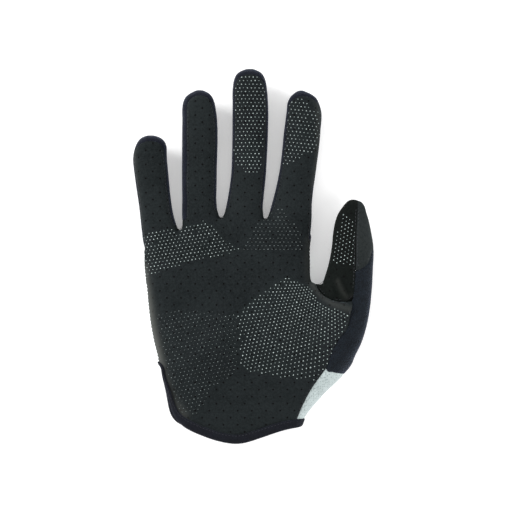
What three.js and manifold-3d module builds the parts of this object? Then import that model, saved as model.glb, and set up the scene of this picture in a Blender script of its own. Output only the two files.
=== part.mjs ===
// Cycling glove for the right hand, full fingers, lying on its back with the palm up
// Millimetres: X runs across the palm towards the thumb, Y from the wrist to the fingertips, Z up

import * as THREE from 'three';
import { mergeVertices } from 'three/addons/utils/BufferGeometryUtils.js';
import Module from 'manifold-3d';

const wasm = await Module();
wasm.setup();

// Driving dimensions
const PALM_WIDTH = 101.4;
const PALM_LENGTH = 132;
const PALM_THICKNESS = 25;
const PALM_SIDE_HEIGHT = 9;
const PALM_HOLLOW = 2.2;
const KNUCKLE_ARCH = 62;
const LITTLE_LENGTH = 76.2;
const LITTLE_WIDTH = 20.4;
const RING_LENGTH = 101.6;
const RING_WIDTH = 20.9;
const MIDDLE_LENGTH = 113.2;
const MIDDLE_WIDTH = 21.4;
const INDEX_LENGTH = 101.6;
const INDEX_WIDTH = 22.0;
const FINGER_THICKNESS = 16.4;
const FINGER_CURL = 4.5;
const FINGER_SINK = 0.4;
const THUMB_LENGTH = 112;
const THUMB_WIDTH = 26.4;
const THUMB_THICKNESS = 20;
const THUMB_LEAN = 13;
const CLOTH = 1.4;
const SEAM_GAP = 0.3;
const ROLL_RISE = 2.1;
const TAPE_WIDTH = 5.4;
const TAPE_THICKNESS = 1.0;
const TAPE_CLEARANCE = 0.3;

// Rims of the finger backs that show beside the suede
const TIP_RIM = 3.0;
const LITTLE_TIP_RIM = 3.4;
const SIDE_RIM = 1.0;
const OUTER_RIM = 0.4;
const RING_SIDE_STRIP = 2.6;

// Section shape: 2 is an ellipse, more is squarer
const PALM_POWER = 2.5;
const FINGER_POWER = 2.35;
const TIP_DEPTH_POWER = 0.85;
const PALM_SIDES = 26;
const FINGER_SIDES = 12;
const THUMB_SIDES = 14;

// Reach of the cutting solids past the glove
const BEYOND = 40;

// Smallest part of a corner's width that an offset line keeps
const MITRE_LIMIT = 0.5;

const HALF_GAP = SEAM_GAP / 2;
const WELD = 0.002;

// A table of rows with named columns
function table(columns, ...rows) {
  return rows.map((row) => Object.fromEntries(columns.map((name, index) => [name, row[index]])));
}

// Palm body from the knuckles to past the cuff
// down: share of the palm's length, left and right: shares of its width from its axis
// top and lift: shares of its thickness, cup: share of the hollow, arch: share of the knuckle arch
const PALM_ROWS = table(
  ['down', 'left', 'right', 'top', 'lift', 'cup', 'arch'],
  [-0.016, -0.478, 0.500, 0.60, 0.00, 0.0, 1.00],
  [0.070, -0.479, 0.503, 0.70, 0.00, 0.1, 0.80],
  [0.170, -0.471, 0.503, 0.82, 0.00, 0.5, 0.50],
  [0.255, -0.466, 0.512, 0.89, 0.00, 0.8, 0.22],
  [0.285, -0.462, 0.582, 0.91, 0.00, 0.9, 0.06],
  [0.364, -0.454, 0.618, 0.96, 0.00, 1.0, 0.00],
  [0.455, -0.440, 0.662, 1.00, 0.00, 1.0, 0.00],
  [0.545, -0.419, 0.714, 1.00, 0.00, 0.9, 0.00],
  [0.636, -0.391, 0.746, 0.98, 0.00, 0.7, 0.00],
  [0.700, -0.388, 0.688, 0.96, 0.06, 0.5, 0.00],
  [0.790, -0.378, 0.578, 0.94, 0.08, 0.3, 0.00],
  [0.890, -0.364, 0.472, 0.92, 0.09, 0.1, 0.00],
  [1.040, -0.342, 0.428, 0.91, 0.09, 0.0, 0.00],
);
const ARCH_CENTRE = 0.086;
const PALM_UNDER_ROUND = 1.22;
const CUP_CENTRE = -0.06;
const CUP_SPREAD = 0.30;

// Fingers: seat is the root of each tube inside the palm, as shares of the palm's width and length
// along: share of the finger's length, shift and wide: shares of its width
const FINGER_COLUMNS = ['along', 'shift', 'wide'];
const FINGERS = [
  {
    name: 'little', width: LITTLE_WIDTH, length: LITTLE_LENGTH, lean: -5.8,
    seatAcross: -0.363, seatDown: 0.182, rimTip: LITTLE_TIP_RIM, rimLeft: OUTER_RIM, rimRight: SIDE_RIM,
    rows: table(
      FINGER_COLUMNS,
      [0.000, 0.05, 0.80],
      [0.120, 0.01, 1.08],
      [0.250, -0.02, 1.08],
      [0.350, -0.06, 1.00],
      [0.450, -0.08, 0.97],
      [0.780, -0.10, 1.01],
      [0.860, -0.07, 0.98],
      [0.920, -0.02, 0.90],
      [0.960, 0.00, 0.74],
      [0.986, 0.00, 0.50],
      [1.000, 0.00, 0.20],
    ),
  },
  {
    name: 'ring', width: RING_WIDTH, length: RING_LENGTH, lean: -1.6,
    seatAcross: -0.122, seatDown: 0.173, rimTip: TIP_RIM, rimLeft: RING_SIDE_STRIP, rimRight: SIDE_RIM,
    rows: table(
      FINGER_COLUMNS,
      [0.000, 0.00, 0.85],
      [0.120, -0.02, 1.12],
      [0.200, -0.04, 1.12],
      [0.250, -0.07, 1.07],
      [0.320, -0.10, 1.00],
      [0.470, -0.08, 1.00],
      [0.830, -0.02, 1.00],
      [0.888, -0.03, 0.97],
      [0.930, -0.03, 0.90],
      [0.965, -0.02, 0.74],
      [0.986, 0.00, 0.50],
      [1.000, 0.00, 0.18],
    ),
  },
  {
    name: 'middle', width: MIDDLE_WIDTH, length: MIDDLE_LENGTH, lean: 2.8,
    seatAcross: 0.093, seatDown: 0.164, rimTip: TIP_RIM, rimLeft: SIDE_RIM, rimRight: SIDE_RIM,
    rows: table(
      FINGER_COLUMNS,
      [0.000, 0.00, 0.85],
      [0.120, 0.00, 1.16],
      [0.213, 0.02, 1.12],
      [0.277, 0.04, 1.03],
      [0.340, 0.07, 1.00],
      [0.468, 0.11, 0.98],
      [0.640, 0.10, 1.00],
      [0.820, 0.06, 1.00],
      [0.900, 0.025, 0.96],
      [0.947, 0.01, 0.87],
      [0.977, 0.00, 0.70],
      [0.992, 0.00, 0.48],
      [1.000, 0.00, 0.22],
    ),
  },
  {
    name: 'index', width: INDEX_WIDTH, length: INDEX_LENGTH, lean: 4.8,
    seatAcross: 0.366, seatDown: 0.173, rimTip: TIP_RIM, rimLeft: SIDE_RIM, rimRight: OUTER_RIM,
    rows: table(
      FINGER_COLUMNS,
      [0.000, -0.05, 0.85],
      [0.120, -0.03, 1.20],
      [0.249, -0.01, 1.20],
      [0.320, 0.01, 1.11],
      [0.390, 0.04, 1.05],
      [0.533, 0.10, 1.00],
      [0.760, 0.13, 1.00],
      [0.888, 0.125, 0.94],
      [0.930, 0.09, 0.86],
      [0.965, 0.065, 0.68],
      [0.987, 0.03, 0.42],
      [1.000, 0.00, 0.16],
    ),
  },
];

// Thumb from its root in the heel of the palm, with the same columns
// turn: degrees that a section turns about Z, deep and height: shares of its thickness
const THUMB_SEAT = { across: 0.507, down: 0.727 };
const THUMB_ROWS = table(
  ['along', 'shift', 'wide', 'deep', 'height', 'turn'],
  [0.000, 0.00, 0.66, 0.80, 0.56, -30],
  [0.132, 0.18, 1.12, 1.15, 0.62, -25],
  [0.264, 0.31, 1.26, 1.16, 0.62, -15],
  [0.407, 0.345, 1.22, 1.06, 0.62, -10],
  [0.527, 0.335, 1.12, 1.00, 0.65, -10],
  [0.637, 0.305, 1.01, 0.97, 0.69, -7],
  [0.736, 0.25, 0.95, 0.94, 0.73, -2],
  [0.824, 0.155, 0.86, 0.88, 0.76, 0],
  [0.880, 0.10, 0.77, 0.80, 0.77, 0],
  [0.930, 0.06, 0.63, 0.68, 0.78, 1],
  [0.970, 0.05, 0.46, 0.50, 0.79, 2],
  [0.992, 0.025, 0.28, 0.30, 0.79, 2],
  [1.000, 0.00, 0.10, 0.12, 0.79, 2],
);

// Rolled suede over the root of the thumb, on the same centre line
// side and wide: shares of the thumb's width, rise: share of the roll's height
// underside: share of the palm's thickness
const ROLL_UNDERSIDE = 0.25;
const ROLL_ROWS = table(
  ['along', 'side', 'wide', 'rise'],
  [0.060, -0.16, 0.60, -0.6],
  [0.150, -0.16, 0.80, 0.1],
  [0.264, -0.17, 0.92, 0.6],
  [0.380, -0.17, 0.90, 0.9],
  [0.440, -0.17, 0.86, 1.0],
  [0.520, -0.17, 0.84, 1.0],
);

// Plan points: across is a share of the palm's width from its axis, down of its length
const PLAN_COLUMNS = ['across', 'down'];

// Edge where the suede rolls over the root of the thumb
const ROLL_EDGE = table(
  PLAN_COLUMNS,
  [0.530, 0.270],
  [0.551, 0.305],
  [0.577, 0.330],
  [0.618, 0.350],
  [0.660, 0.360],
  [0.730, 0.361],
  [0.900, 0.350],
);

// Rest of the outline of the thumb past that edge
const ROLL_FAR = table(
  PLAN_COLUMNS,
  [1.200, -0.400],
  [0.630, -0.400],
  [0.590, 0.100],
);

// Edge of the palm's suede under the fingers, from the thumb's side to the little finger's
// The seam by the thumb closes it from its last row up to where it starts
const PALM_SUEDE_TOP = table(
  PLAN_COLUMNS,
  [0.620, 0.190],
  [0.530, 0.100],
  [0.400, 0.000],
  [0.230, -0.060],
  [0.086, -0.070],
  [-0.030, -0.060],
  [-0.275, 0.000],
  [-0.420, 0.110],
  [-0.800, 0.130],
  [-0.800, 1.100],
);
const PALM_SEAM_START = 0.30;

// Seam between the suede and the panels on the thumb's side, from the tip of the thumb to the cuff
const THUMB_SEAM = table(
  PLAN_COLUMNS,
  [0.790, -0.200],
  [0.782, -0.065],
  [0.773, 0.055],
  [0.770, 0.200],
  [0.760, 0.320],
  [0.746, 0.390],
  [0.720, 0.485],
  [0.677, 0.525],
  [0.630, 0.590],
  [0.600, 0.655],
  [0.545, 0.718],
  [0.500, 0.772],
  [0.465, 0.828],
  [0.439, 0.875],
  [0.390, 0.960],
  [0.300, 1.100],
);

// Outline of the thumb's back panel, seen in plan
const THUMB_PANEL = table(
  PLAN_COLUMNS,
  [0.548, 0.270],
  [0.545, 0.400],
  [0.562, 0.560],
  [0.598, 0.668],
  [0.636, 0.681],
  [0.690, 0.690],
  [0.950, 0.710],
  [1.000, -0.300],
  [0.630, -0.300],
  [0.590, 0.100],
);

// Lower edge of the suede patch on the thumb's tip
const THUMB_PATCH = table(
  PLAN_COLUMNS,
  [0.600, 0.130],
  [0.700, 0.205],
  [0.772, 0.222],
  [0.846, 0.190],
  [0.876, 0.125],
  [0.960, 0.060],
  [1.000, -0.300],
  [0.500, -0.300],
);

// Lines between the fingers, from under the knuckles up past the tips
const FINGER_LINES = [
  table(PLAN_COLUMNS, [-0.900, 0.170], [-0.900, -0.800]),
  table(PLAN_COLUMNS, [-0.270, 0.125], [-0.275, 0.050], [-0.296, -0.200], [-0.305, -0.800]),
  table(PLAN_COLUMNS, [-0.020, 0.075], [-0.027, 0.000], [-0.012, -0.350], [-0.012, -0.800]),
  table(PLAN_COLUMNS, [0.232, 0.080], [0.234, 0.000], [0.290, -0.350], [0.320, -0.800]),
  table(PLAN_COLUMNS, [0.530, 0.140], [0.530, 0.060], [0.700, -0.500], [0.700, -0.800]),
];

// Cuff edge from the notch on the little finger's side to the thumb's side
// palm and back: the same points on the palm's edge and on the back's edge, tape: share of its width
const CUFF_EDGE = table(
  ['palmAcross', 'palmDown', 'backAcross', 'backDown', 'tape'],
  [-0.640, 0.600, -0.640, 0.600, 0.40],
  [-0.400, 0.648, -0.402, 0.648, 0.42],
  [-0.372, 0.695, -0.382, 0.695, 0.46],
  [-0.342, 0.758, -0.360, 0.762, 0.50],
  [-0.315, 0.822, -0.346, 0.826, 0.60],
  [-0.280, 0.886, -0.330, 0.882, 0.80],
  [-0.225, 0.936, -0.280, 0.923, 1.00],
  [-0.122, 0.976, -0.140, 0.950, 1.00],
  [-0.033, 1.001, -0.033, 0.960, 1.00],
  [0.062, 1.014, 0.062, 0.965, 1.00],
  [0.130, 1.007, 0.130, 0.960, 1.00],
  [0.208, 0.986, 0.210, 0.952, 1.00],
  [0.350, 0.947, 0.350, 0.936, 1.00],
  [0.458, 0.932, 0.458, 0.930, 1.00],
  [0.800, 0.905, 0.800, 0.905, 1.00],
);

// Rest of the outline of the glove past the cuff edge, and the cut's reach above and below the glove
const CUFF_FAR = table(PLAN_COLUMNS, [1.200, -1.000], [-1.200, -1.000], [-1.200, 0.500]);
const CUFF_CUT_ABOVE = 4;
const CUFF_CUT_BELOW = 2;

// Suede on the fingers: the rounded end starts at this row, counted from the tip
// turns: degrees round the rounded end, reach: length of the cut through the wall in half widths
const SUEDE_END_ROW = 5;
const SUEDE_END_TURNS = [0, 25, 46, 64, 80];
const SUEDE_CUT_REACH = 1.7;
const SUEDE_WIDE_RANGE = { least: 0.02, most: 0.999 };

// Suede on the thumb: where it starts along the thumb
// side and seam: how far down the wall it reaches, shares of the thumb's half thickness
const THUMB_SUEDE = { along: 0.35, side: 0.45, seam: 0.09 };

// Colours and finish
const SUEDE = new THREE.MeshStandardMaterial({ color: 0x26292b, roughness: 0.92, metalness: 0 });
const NAVY_KNIT = new THREE.MeshStandardMaterial({ color: 0x151925, roughness: 0.9, metalness: 0 });
const PALE_MESH = new THREE.MeshStandardMaterial({ color: 0xcdd8d7, roughness: 0.85, metalness: 0 });
const EDGE_TAPE = new THREE.MeshStandardMaterial({ color: 0x11151f, roughness: 0.8, metalness: 0 });

const radians = THREE.MathUtils.degToRad;

// Plan point in millimetres
function planPoint(across, down) {
  return new THREE.Vector2(across * PALM_WIDTH, -down * PALM_LENGTH);
}

function planLine(rows) {
  return rows.map((row) => planPoint(row.across, row.down));
}

// Closed solid from points and triangles
function solidFrom(points, triangles) {
  const geometry = new THREE.BufferGeometry().setFromPoints(points);
  geometry.setIndex(triangles.flat());
  return solidFromGeometry(geometry);
}

// Closed solid whose faces point out, with vertices closer than the weld joined
function solidFromGeometry(source) {
  const geometry = source.clone();
  geometry.deleteAttribute('normal');
  geometry.deleteAttribute('uv');
  const merged = mergeVertices(geometry, WELD);
  const vertices = merged.attributes.position.array;
  const corners = Array.from(merged.index.array);
  const index = [];
  for (let at = 0; at < corners.length; at += 3) {
    const [a, b, c] = corners.slice(at, at + 3);
    if (a !== b && b !== c && c !== a) {
      index.push(a, b, c);
    }
  }
  if (signedVolume(vertices, index) < 0) {
    index.reverse();
  }
  return new wasm.Manifold(new wasm.Mesh({
    numProp: 3,
    vertProperties: new Float32Array(vertices),
    triVerts: new Uint32Array(index),
  }));
}

function signedVolume(vertices, index) {
  const corner = (at) => new THREE.Vector3().fromArray(vertices, 3 * index[at]);
  let volume = 0;
  for (let at = 0; at < index.length; at += 3) {
    volume += corner(at).dot(corner(at + 1).cross(corner(at + 2))) / 6;
  }
  return volume;
}

// Solid through rings with equal numbers of points, closed at both ends
function loft(rings) {
  const sides = rings[0].length;
  const points = rings.flat();
  const triangles = [];
  for (let ring = 0; ring < rings.length - 1; ring += 1) {
    for (let side = 0; side < sides; side += 1) {
      const next = (side + 1) % sides;
      const a = ring * sides + side;
      const b = ring * sides + next;
      const c = a + sides;
      const d = b + sides;
      triangles.push([a, b, d], [a, d, c]);
    }
  }
  for (const [ring, start] of [[rings[0], 0], [rings.at(-1), (rings.length - 1) * sides]]) {
    const middle = new THREE.Vector3();
    ring.forEach((point) => middle.add(point));
    const hub = points.length;
    points.push(middle.divideScalar(sides));
    for (let side = 0; side < sides; side += 1) {
      const edge = [start + side, start + (side + 1) % sides];
      triangles.push(start === 0 ? [edge[1], edge[0], hub] : [edge[0], edge[1], hub]);
    }
  }
  return solidFrom(points, triangles);
}

// Solid between two plan outlines with equal numbers of points
function ruledPrism(lowOutline, highOutline, low, high) {
  const count = lowOutline.length;
  const points = [
    ...lowOutline.map((point) => new THREE.Vector3(point.x, point.y, low)),
    ...highOutline.map((point) => new THREE.Vector3(point.x, point.y, high)),
  ];
  const triangles = [];
  for (let at = 0; at < count; at += 1) {
    const next = (at + 1) % count;
    triangles.push([at, next, next + count], [at, next + count, at + count]);
  }
  for (const face of THREE.ShapeUtils.triangulateShape(lowOutline, [])) {
    triangles.push([face[2], face[1], face[0]]);
  }
  for (const face of THREE.ShapeUtils.triangulateShape(highOutline, [])) {
    triangles.push(face.map((corner) => corner + count));
  }
  return solidFrom(points, triangles);
}

function prism(outline, low, high) {
  return ruledPrism(outline, outline, low, high);
}

// Line moved sideways, to its left where the distance is positive, each point by its own share
function offsetLine(line, distance, closed, shares = line.map(() => 1)) {
  const count = line.length;
  return line.map((point, at) => {
    const before = closed ? line[(at + count - 1) % count] : line[Math.max(at - 1, 0)];
    const after = closed ? line[(at + 1) % count] : line[Math.min(at + 1, count - 1)];
    const incoming = point.clone().sub(before);
    const outgoing = after.clone().sub(point);
    if (incoming.length() === 0) {
      incoming.copy(outgoing);
    }
    if (outgoing.length() === 0) {
      outgoing.copy(incoming);
    }
    incoming.normalize();
    outgoing.normalize();
    const normal = new THREE.Vector2(-incoming.y - outgoing.y, incoming.x + outgoing.x).normalize();
    const stretch = Math.max(normal.dot(new THREE.Vector2(-incoming.y, incoming.x)), MITRE_LIMIT);
    return point.clone().addScaledVector(normal, (distance * shares[at]) / stretch);
  });
}

// Outline grown outwards by a distance
function grown(outline, distance) {
  const clockwise = THREE.ShapeUtils.area(outline) < 0;
  return offsetLine(outline, clockwise ? distance : -distance, true);
}

// Point of a squared ellipse at an angle, with half axes of one
function roundPoint(angle, power) {
  const bulge = (value) => Math.sign(value) * Math.abs(value) ** (2 / power);
  return new THREE.Vector2(bulge(Math.cos(angle)), bulge(Math.sin(angle)));
}

// Value of each column at a place along a table, on straight lines between its rows
function rowAt(rows, along) {
  const upper = Math.max(rows.findIndex((row) => row.along >= along), 1);
  const before = rows[upper - 1];
  const after = rows[upper];
  const share = THREE.MathUtils.clamp((along - before.along) / (after.along - before.along), 0, 1);
  return Object.fromEntries(
    Object.keys(before).map((key) => [key, THREE.MathUtils.lerp(before[key], after[key], share)]),
  );
}

// Palm body, its wall moved out by a distance
function palmBody(outward) {
  const rings = PALM_ROWS.map((row, index) => {
    const left = row.left * PALM_WIDTH - outward;
    const right = row.right * PALM_WIDTH + outward;
    const top = row.top * PALM_THICKNESS + outward;
    const floor = Math.max(row.lift * PALM_THICKNESS - outward, 0);
    const middle = (left + right) / 2;
    const half = (right - left) / 2;
    const level = -row.down * PALM_LENGTH + (index === 0 ? outward : 0);
    const ring = [];
    for (let step = 0; step < PALM_SIDES; step += 1) {
      const round = roundPoint((2 * Math.PI * step) / PALM_SIDES, PALM_POWER);
      const x = middle + half * round.x;
      const across = x / PALM_WIDTH;
      const cup = row.cup * PALM_HOLLOW * Math.exp(-(((across - CUP_CENTRE) / CUP_SPREAD) ** 2));
      const over = PALM_SIDE_HEIGHT + (top - PALM_SIDE_HEIGHT) * round.y - cup * Math.max(round.y, 0);
      const under = PALM_SIDE_HEIGHT + (PALM_SIDE_HEIGHT + outward) * PALM_UNDER_ROUND * round.y;
      const z = Math.max(round.y > 0 ? over : under, floor);
      const drop = row.arch * KNUCKLE_ARCH * (across - ARCH_CENTRE) ** 2;
      ring.push(new THREE.Vector3(x, level - drop, z));
    }
    return ring;
  });
  return loft(rings);
}

// Centre, sideways direction and half sizes of a finger's section
function fingerSection(finger, along, outward) {
  const row = rowAt(finger.rows, along);
  const lean = radians(finger.lean);
  const reach = along * (finger.length + outward);
  const seat = planPoint(finger.seatAcross, finger.seatDown);
  const halfDeep = (FINGER_THICKNESS / 2) * Math.min(row.wide, 1) ** TIP_DEPTH_POWER;
  return {
    centre: new THREE.Vector3(
      seat.x + Math.sin(lean) * reach + row.shift * finger.width,
      seat.y + Math.cos(lean) * reach,
      FINGER_THICKNESS / 2 - FINGER_SINK + FINGER_CURL * along * along,
    ),
    sideways: new THREE.Vector3(1, 0, 0),
    halfWide: (row.wide * finger.width) / 2 + outward,
    halfDeep: halfDeep + outward,
  };
}

function thumbSection(along, outward) {
  const row = rowAt(THUMB_ROWS, along);
  const lean = radians(THUMB_LEAN);
  const turn = radians(row.turn);
  const reach = along * (THUMB_LENGTH + outward);
  const seat = planPoint(THUMB_SEAT.across, THUMB_SEAT.down);
  return {
    centre: new THREE.Vector3(
      seat.x + Math.sin(lean) * reach + row.shift * THUMB_WIDTH,
      seat.y + Math.cos(lean) * reach,
      row.height * THUMB_THICKNESS,
    ),
    sideways: new THREE.Vector3(Math.cos(turn), Math.sin(turn), 0),
    halfWide: (row.wide * THUMB_WIDTH) / 2 + outward,
    halfDeep: (row.deep * THUMB_THICKNESS) / 2 + outward,
  };
}

// Ring of points round a section, held above the floor
function sectionRing(section, sides, power, floor) {
  const ring = [];
  for (let step = 0; step < sides; step += 1) {
    const round = roundPoint((2 * Math.PI * step) / sides, power);
    const point = section.centre.clone().addScaledVector(section.sideways, section.halfWide * round.x);
    point.z = Math.max(point.z + section.halfDeep * round.y, floor);
    ring.push(point);
  }
  return ring;
}

function fingerTube(finger, outward) {
  const floor = Math.max(-outward, 0);
  return loft(finger.rows.map((row) => (
    sectionRing(fingerSection(finger, row.along, outward), FINGER_SIDES, FINGER_POWER, floor)
  )));
}

function thumbTube(outward) {
  const floor = Math.max(-outward, 0);
  return loft(THUMB_ROWS.map((row) => (
    sectionRing(thumbSection(row.along, outward), THUMB_SIDES, FINGER_POWER, floor)
  )));
}

// Suede rolled up over the root of the thumb
function thumbRoll(outward) {
  return loft(ROLL_ROWS.map((row) => {
    const section = thumbSection(row.along, 0);
    section.centre.addScaledVector(section.sideways, row.side * THUMB_WIDTH);
    section.halfWide = (row.wide * THUMB_WIDTH) / 2 + outward;
    section.halfDeep += row.rise * ROLL_RISE + outward;
    return sectionRing(section, THUMB_SIDES, FINGER_POWER, ROLL_UNDERSIDE * PALM_THICKNESS);
  }));
}

// Filled form of the glove, its wall moved out by a distance
function filledForm(outward) {
  const tubes = FINGERS.map((finger) => fingerTube(finger, outward));
  return tubes.reduce((form, tube) => form.add(tube), palmBody(outward)).add(thumbTube(outward));
}

// Part of a finger tube on the palm's side, up to its rims
function fingerFront(finger, grow) {
  const end = 1 - (finger.rimTip - grow) / finger.length;
  const domeStart = finger.rows.at(-SUEDE_END_ROW).along;
  const stations = finger.rows.map((row) => row.along).filter((along) => along < domeStart);
  for (const turn of SUEDE_END_TURNS) {
    stations.push(domeStart + (end - domeStart) * Math.sin(radians(turn)));
  }
  const rings = stations.map((along) => {
    const section = fingerSection(finger, along, 0);
    const past = THREE.MathUtils.clamp((along - domeStart) / (end - domeStart), 0, 1);
    const shrink = Math.sqrt(1 - past * past);
    const widest = fingerSection(finger, domeStart, 0).halfWide;
    const rayEnd = (rim) => {
      const straight = (section.halfWide - rim + grow) / section.halfWide;
      const rounded = ((widest - rim + grow) * shrink) / section.halfWide;
      const share = along > domeStart ? Math.min(straight, rounded) : straight;
      const inWall = THREE.MathUtils.clamp(share, SUEDE_WIDE_RANGE.least, SUEDE_WIDE_RANGE.most);
      const round = roundPoint(Math.acos(inWall ** (FINGER_POWER / 2)), FINGER_POWER);
      const onWall = new THREE.Vector2(round.x * section.halfWide, round.y * section.halfDeep);
      return onWall.multiplyScalar(SUEDE_CUT_REACH);
    };
    const left = rayEnd(finger.rimLeft);
    const right = rayEnd(finger.rimRight);
    const corners = [[0, 0], [right.x, right.y], [right.x, BEYOND], [-left.x, BEYOND], [-left.x, left.y]];
    return corners.map(([x, z]) => section.centre.clone().add(new THREE.Vector3(x, 0, z - grow)));
  });
  return loft(rings);
}

// Part of the palm body on the palm's side, left of the seam by the thumb
function palmFront(grow) {
  const seam = THUMB_SEAM.filter((row) => row.down > PALM_SEAM_START).reverse();
  const outline = grown(planLine([...seam, ...PALM_SUEDE_TOP]), grow);
  return prism(outline, PALM_SIDE_HEIGHT - grow, BEYOND);
}

// Part of the thumb tube on the palm's side: left of the seam and down round the side
function thumbFront(grow) {
  const seam = offsetLine(planLine(THUMB_SEAM), grow, false);
  const rings = THUMB_ROWS.filter((row) => row.along > THUMB_SUEDE.along).map((row) => {
    const section = thumbSection(row.along, 0);
    const seamPoint = crossing(seam, section.centre.y);
    const side = (seamPoint - section.centre.x) / section.sideways.x;
    const low = -THUMB_SUEDE.side * section.halfDeep - grow;
    const high = -THUMB_SUEDE.seam * section.halfDeep - grow;
    const corners = [[side, BEYOND], [-BEYOND, BEYOND], [-BEYOND, low], [side, high]];
    return corners.map(([x, z]) => {
      const point = section.centre.clone().addScaledVector(section.sideways, x);
      point.z += z;
      return point;
    });
  });
  const past = new THREE.Vector3(0, THUMB_WIDTH, 0);
  rings.push(rings.at(-1).map((point) => point.clone().add(past)));
  return loft(rings);
}

// Place across where a plan line crosses a level
function crossing(line, level) {
  for (let at = 0; at < line.length - 1; at += 1) {
    const [upper, lower] = [line[at], line[at + 1]];
    if (upper.y >= level && lower.y <= level) {
      return THREE.MathUtils.mapLinear(level, upper.y, lower.y, upper.x, lower.x);
    }
  }
  return line[0].x;
}

// Plan area of the thumb past the rolled edge
function thumbZone(grow) {
  const outline = planLine([...ROLL_EDGE, ...ROLL_FAR]);
  return prism(grown(outline, grow), -BEYOND, BEYOND);
}

// Plan area of one finger's back, between two of the lines
function fingerZone(index, grow) {
  const left = planLine(FINGER_LINES[index]);
  const right = planLine(FINGER_LINES[index + 1]);
  const outline = [...right, ...left.reverse()];
  return prism(grown(outline, grow), -BEYOND, BEYOND);
}

// Everything on the glove's side of the cuff edge, the edge moved in by a distance
function insideCuff(inset, shares) {
  const edge = (across, down) => offsetLine(
    CUFF_EDGE.map((row) => planPoint(row[across], row[down])), inset, false, shares,
  );
  const low = [...edge('backAcross', 'backDown'), ...planLine(CUFF_FAR)];
  const high = [...edge('palmAcross', 'palmDown'), ...planLine(CUFF_FAR)];
  return ruledPrism(low, high, -CUFF_CUT_BELOW, PALM_THICKNESS + CUFF_CUT_ABOVE);
}

// Largest body of a cut solid
function mainBody(solid) {
  return solid.decompose().reduce((best, body) => (body.volume() > best.volume() ? body : best));
}

function geometryOf(solid) {
  const mesh = solid.getMesh();
  const geometry = new THREE.BufferGeometry();
  geometry.setAttribute('position', new THREE.BufferAttribute(Float32Array.from(mesh.vertProperties), 3));
  geometry.setIndex(Array.from(mesh.triVerts));
  return geometry;
}

function meshOf(name, solid, material) {
  const geometry = geometryOf(mainBody(solidFromGeometry(geometryOf(solid))));
  geometry.computeVertexNormals();
  const result = new THREE.Mesh(geometry, material);
  result.name = name;
  return result;
}

// Cloth walls
const outside = filledForm(0);
const inside = filledForm(-CLOTH);
const clothSide = insideCuff(TAPE_THICKNESS + TAPE_CLEARANCE);
const wall = outside.subtract(inside).intersect(clothSide);
const rolledWall = outside.add(thumbRoll(0)).subtract(inside.add(thumbRoll(-CLOTH))).intersect(clothSide);

function frontRegion(grow) {
  const fronts = FINGERS.map((finger) => fingerFront(finger, grow));
  return fronts.reduce((region, front) => region.add(front), palmFront(grow));
}

const palmPanel = rolledWall.intersect(frontRegion(-HALF_GAP)).subtract(thumbZone(HALF_GAP));
const frontOfThumb = wall.intersect(thumbFront(-HALF_GAP)).intersect(thumbZone(-HALF_GAP));
const backHalf = wall
  .subtract(frontRegion(HALF_GAP).subtract(thumbZone(0)))
  .subtract(thumbFront(HALF_GAP).intersect(thumbZone(0)));

const thumbPanelArea = (grow) => prism(grown(planLine(THUMB_PANEL), grow), -BEYOND, BEYOND);
const thumbPatchArea = (grow) => prism(grown(planLine(THUMB_PATCH), grow), -BEYOND, BEYOND);
const thumbSide = backHalf.intersect(thumbPanelArea(-HALF_GAP));
const thumbPatch = thumbSide.intersect(thumbPatchArea(-HALF_GAP));
const thumbBack = thumbSide.subtract(thumbPatchArea(HALF_GAP));

const backPanel = FINGERS.reduce(
  (panel, finger, index) => panel.subtract(fingerZone(index, HALF_GAP)),
  backHalf.subtract(thumbPanelArea(HALF_GAP)),
);

// Folded tape over the cuff edge: outer and inner leg joined round the cloth's edge
const tapeReach = TAPE_CLEARANCE + TAPE_THICKNESS;
const tapeBlock = filledForm(tapeReach).subtract(filledForm(-CLOTH - tapeReach));
const clothSlot = filledForm(TAPE_CLEARANCE).subtract(filledForm(-CLOTH - TAPE_CLEARANCE));
const cuffTape = tapeBlock
  .intersect(insideCuff(0))
  .subtract(insideCuff(TAPE_WIDTH, CUFF_EDGE.map((row) => row.tape)))
  .subtract(clothSlot.intersect(insideCuff(TAPE_THICKNESS)));

const glove = new THREE.Group();
glove.add(meshOf('palm_panel', palmPanel, SUEDE));
glove.add(meshOf('thumb_front', frontOfThumb, SUEDE));
glove.add(meshOf('thumb_tip_patch', thumbPatch, SUEDE));
glove.add(meshOf('thumb_back', thumbBack, NAVY_KNIT));
FINGERS.forEach((finger, index) => {
  const back = backHalf.intersect(fingerZone(index, -HALF_GAP));
  glove.add(meshOf(`finger_back_${finger.name}`, back, NAVY_KNIT));
});
glove.add(meshOf('back_panel', backPanel, PALE_MESH));
glove.add(meshOf('cuff_tape', cuffTape, EDGE_TAPE));

// The origin is the middle of the glove's outline, on the surface it lies on
const box = new THREE.Box3().setFromObject(glove);
const middle = box.getCenter(new THREE.Vector3());
glove.children.forEach((mesh) => mesh.geometry.translate(-middle.x, -middle.y, -box.min.z));

export default glove;
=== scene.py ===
"""Cycling glove for the right hand, palm up: cloth skins, seams, dots and materials over the CAD frame."""
import math

import bpy
import numpy as np
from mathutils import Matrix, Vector
from mathutils.bvhtree import BVHTree


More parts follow.
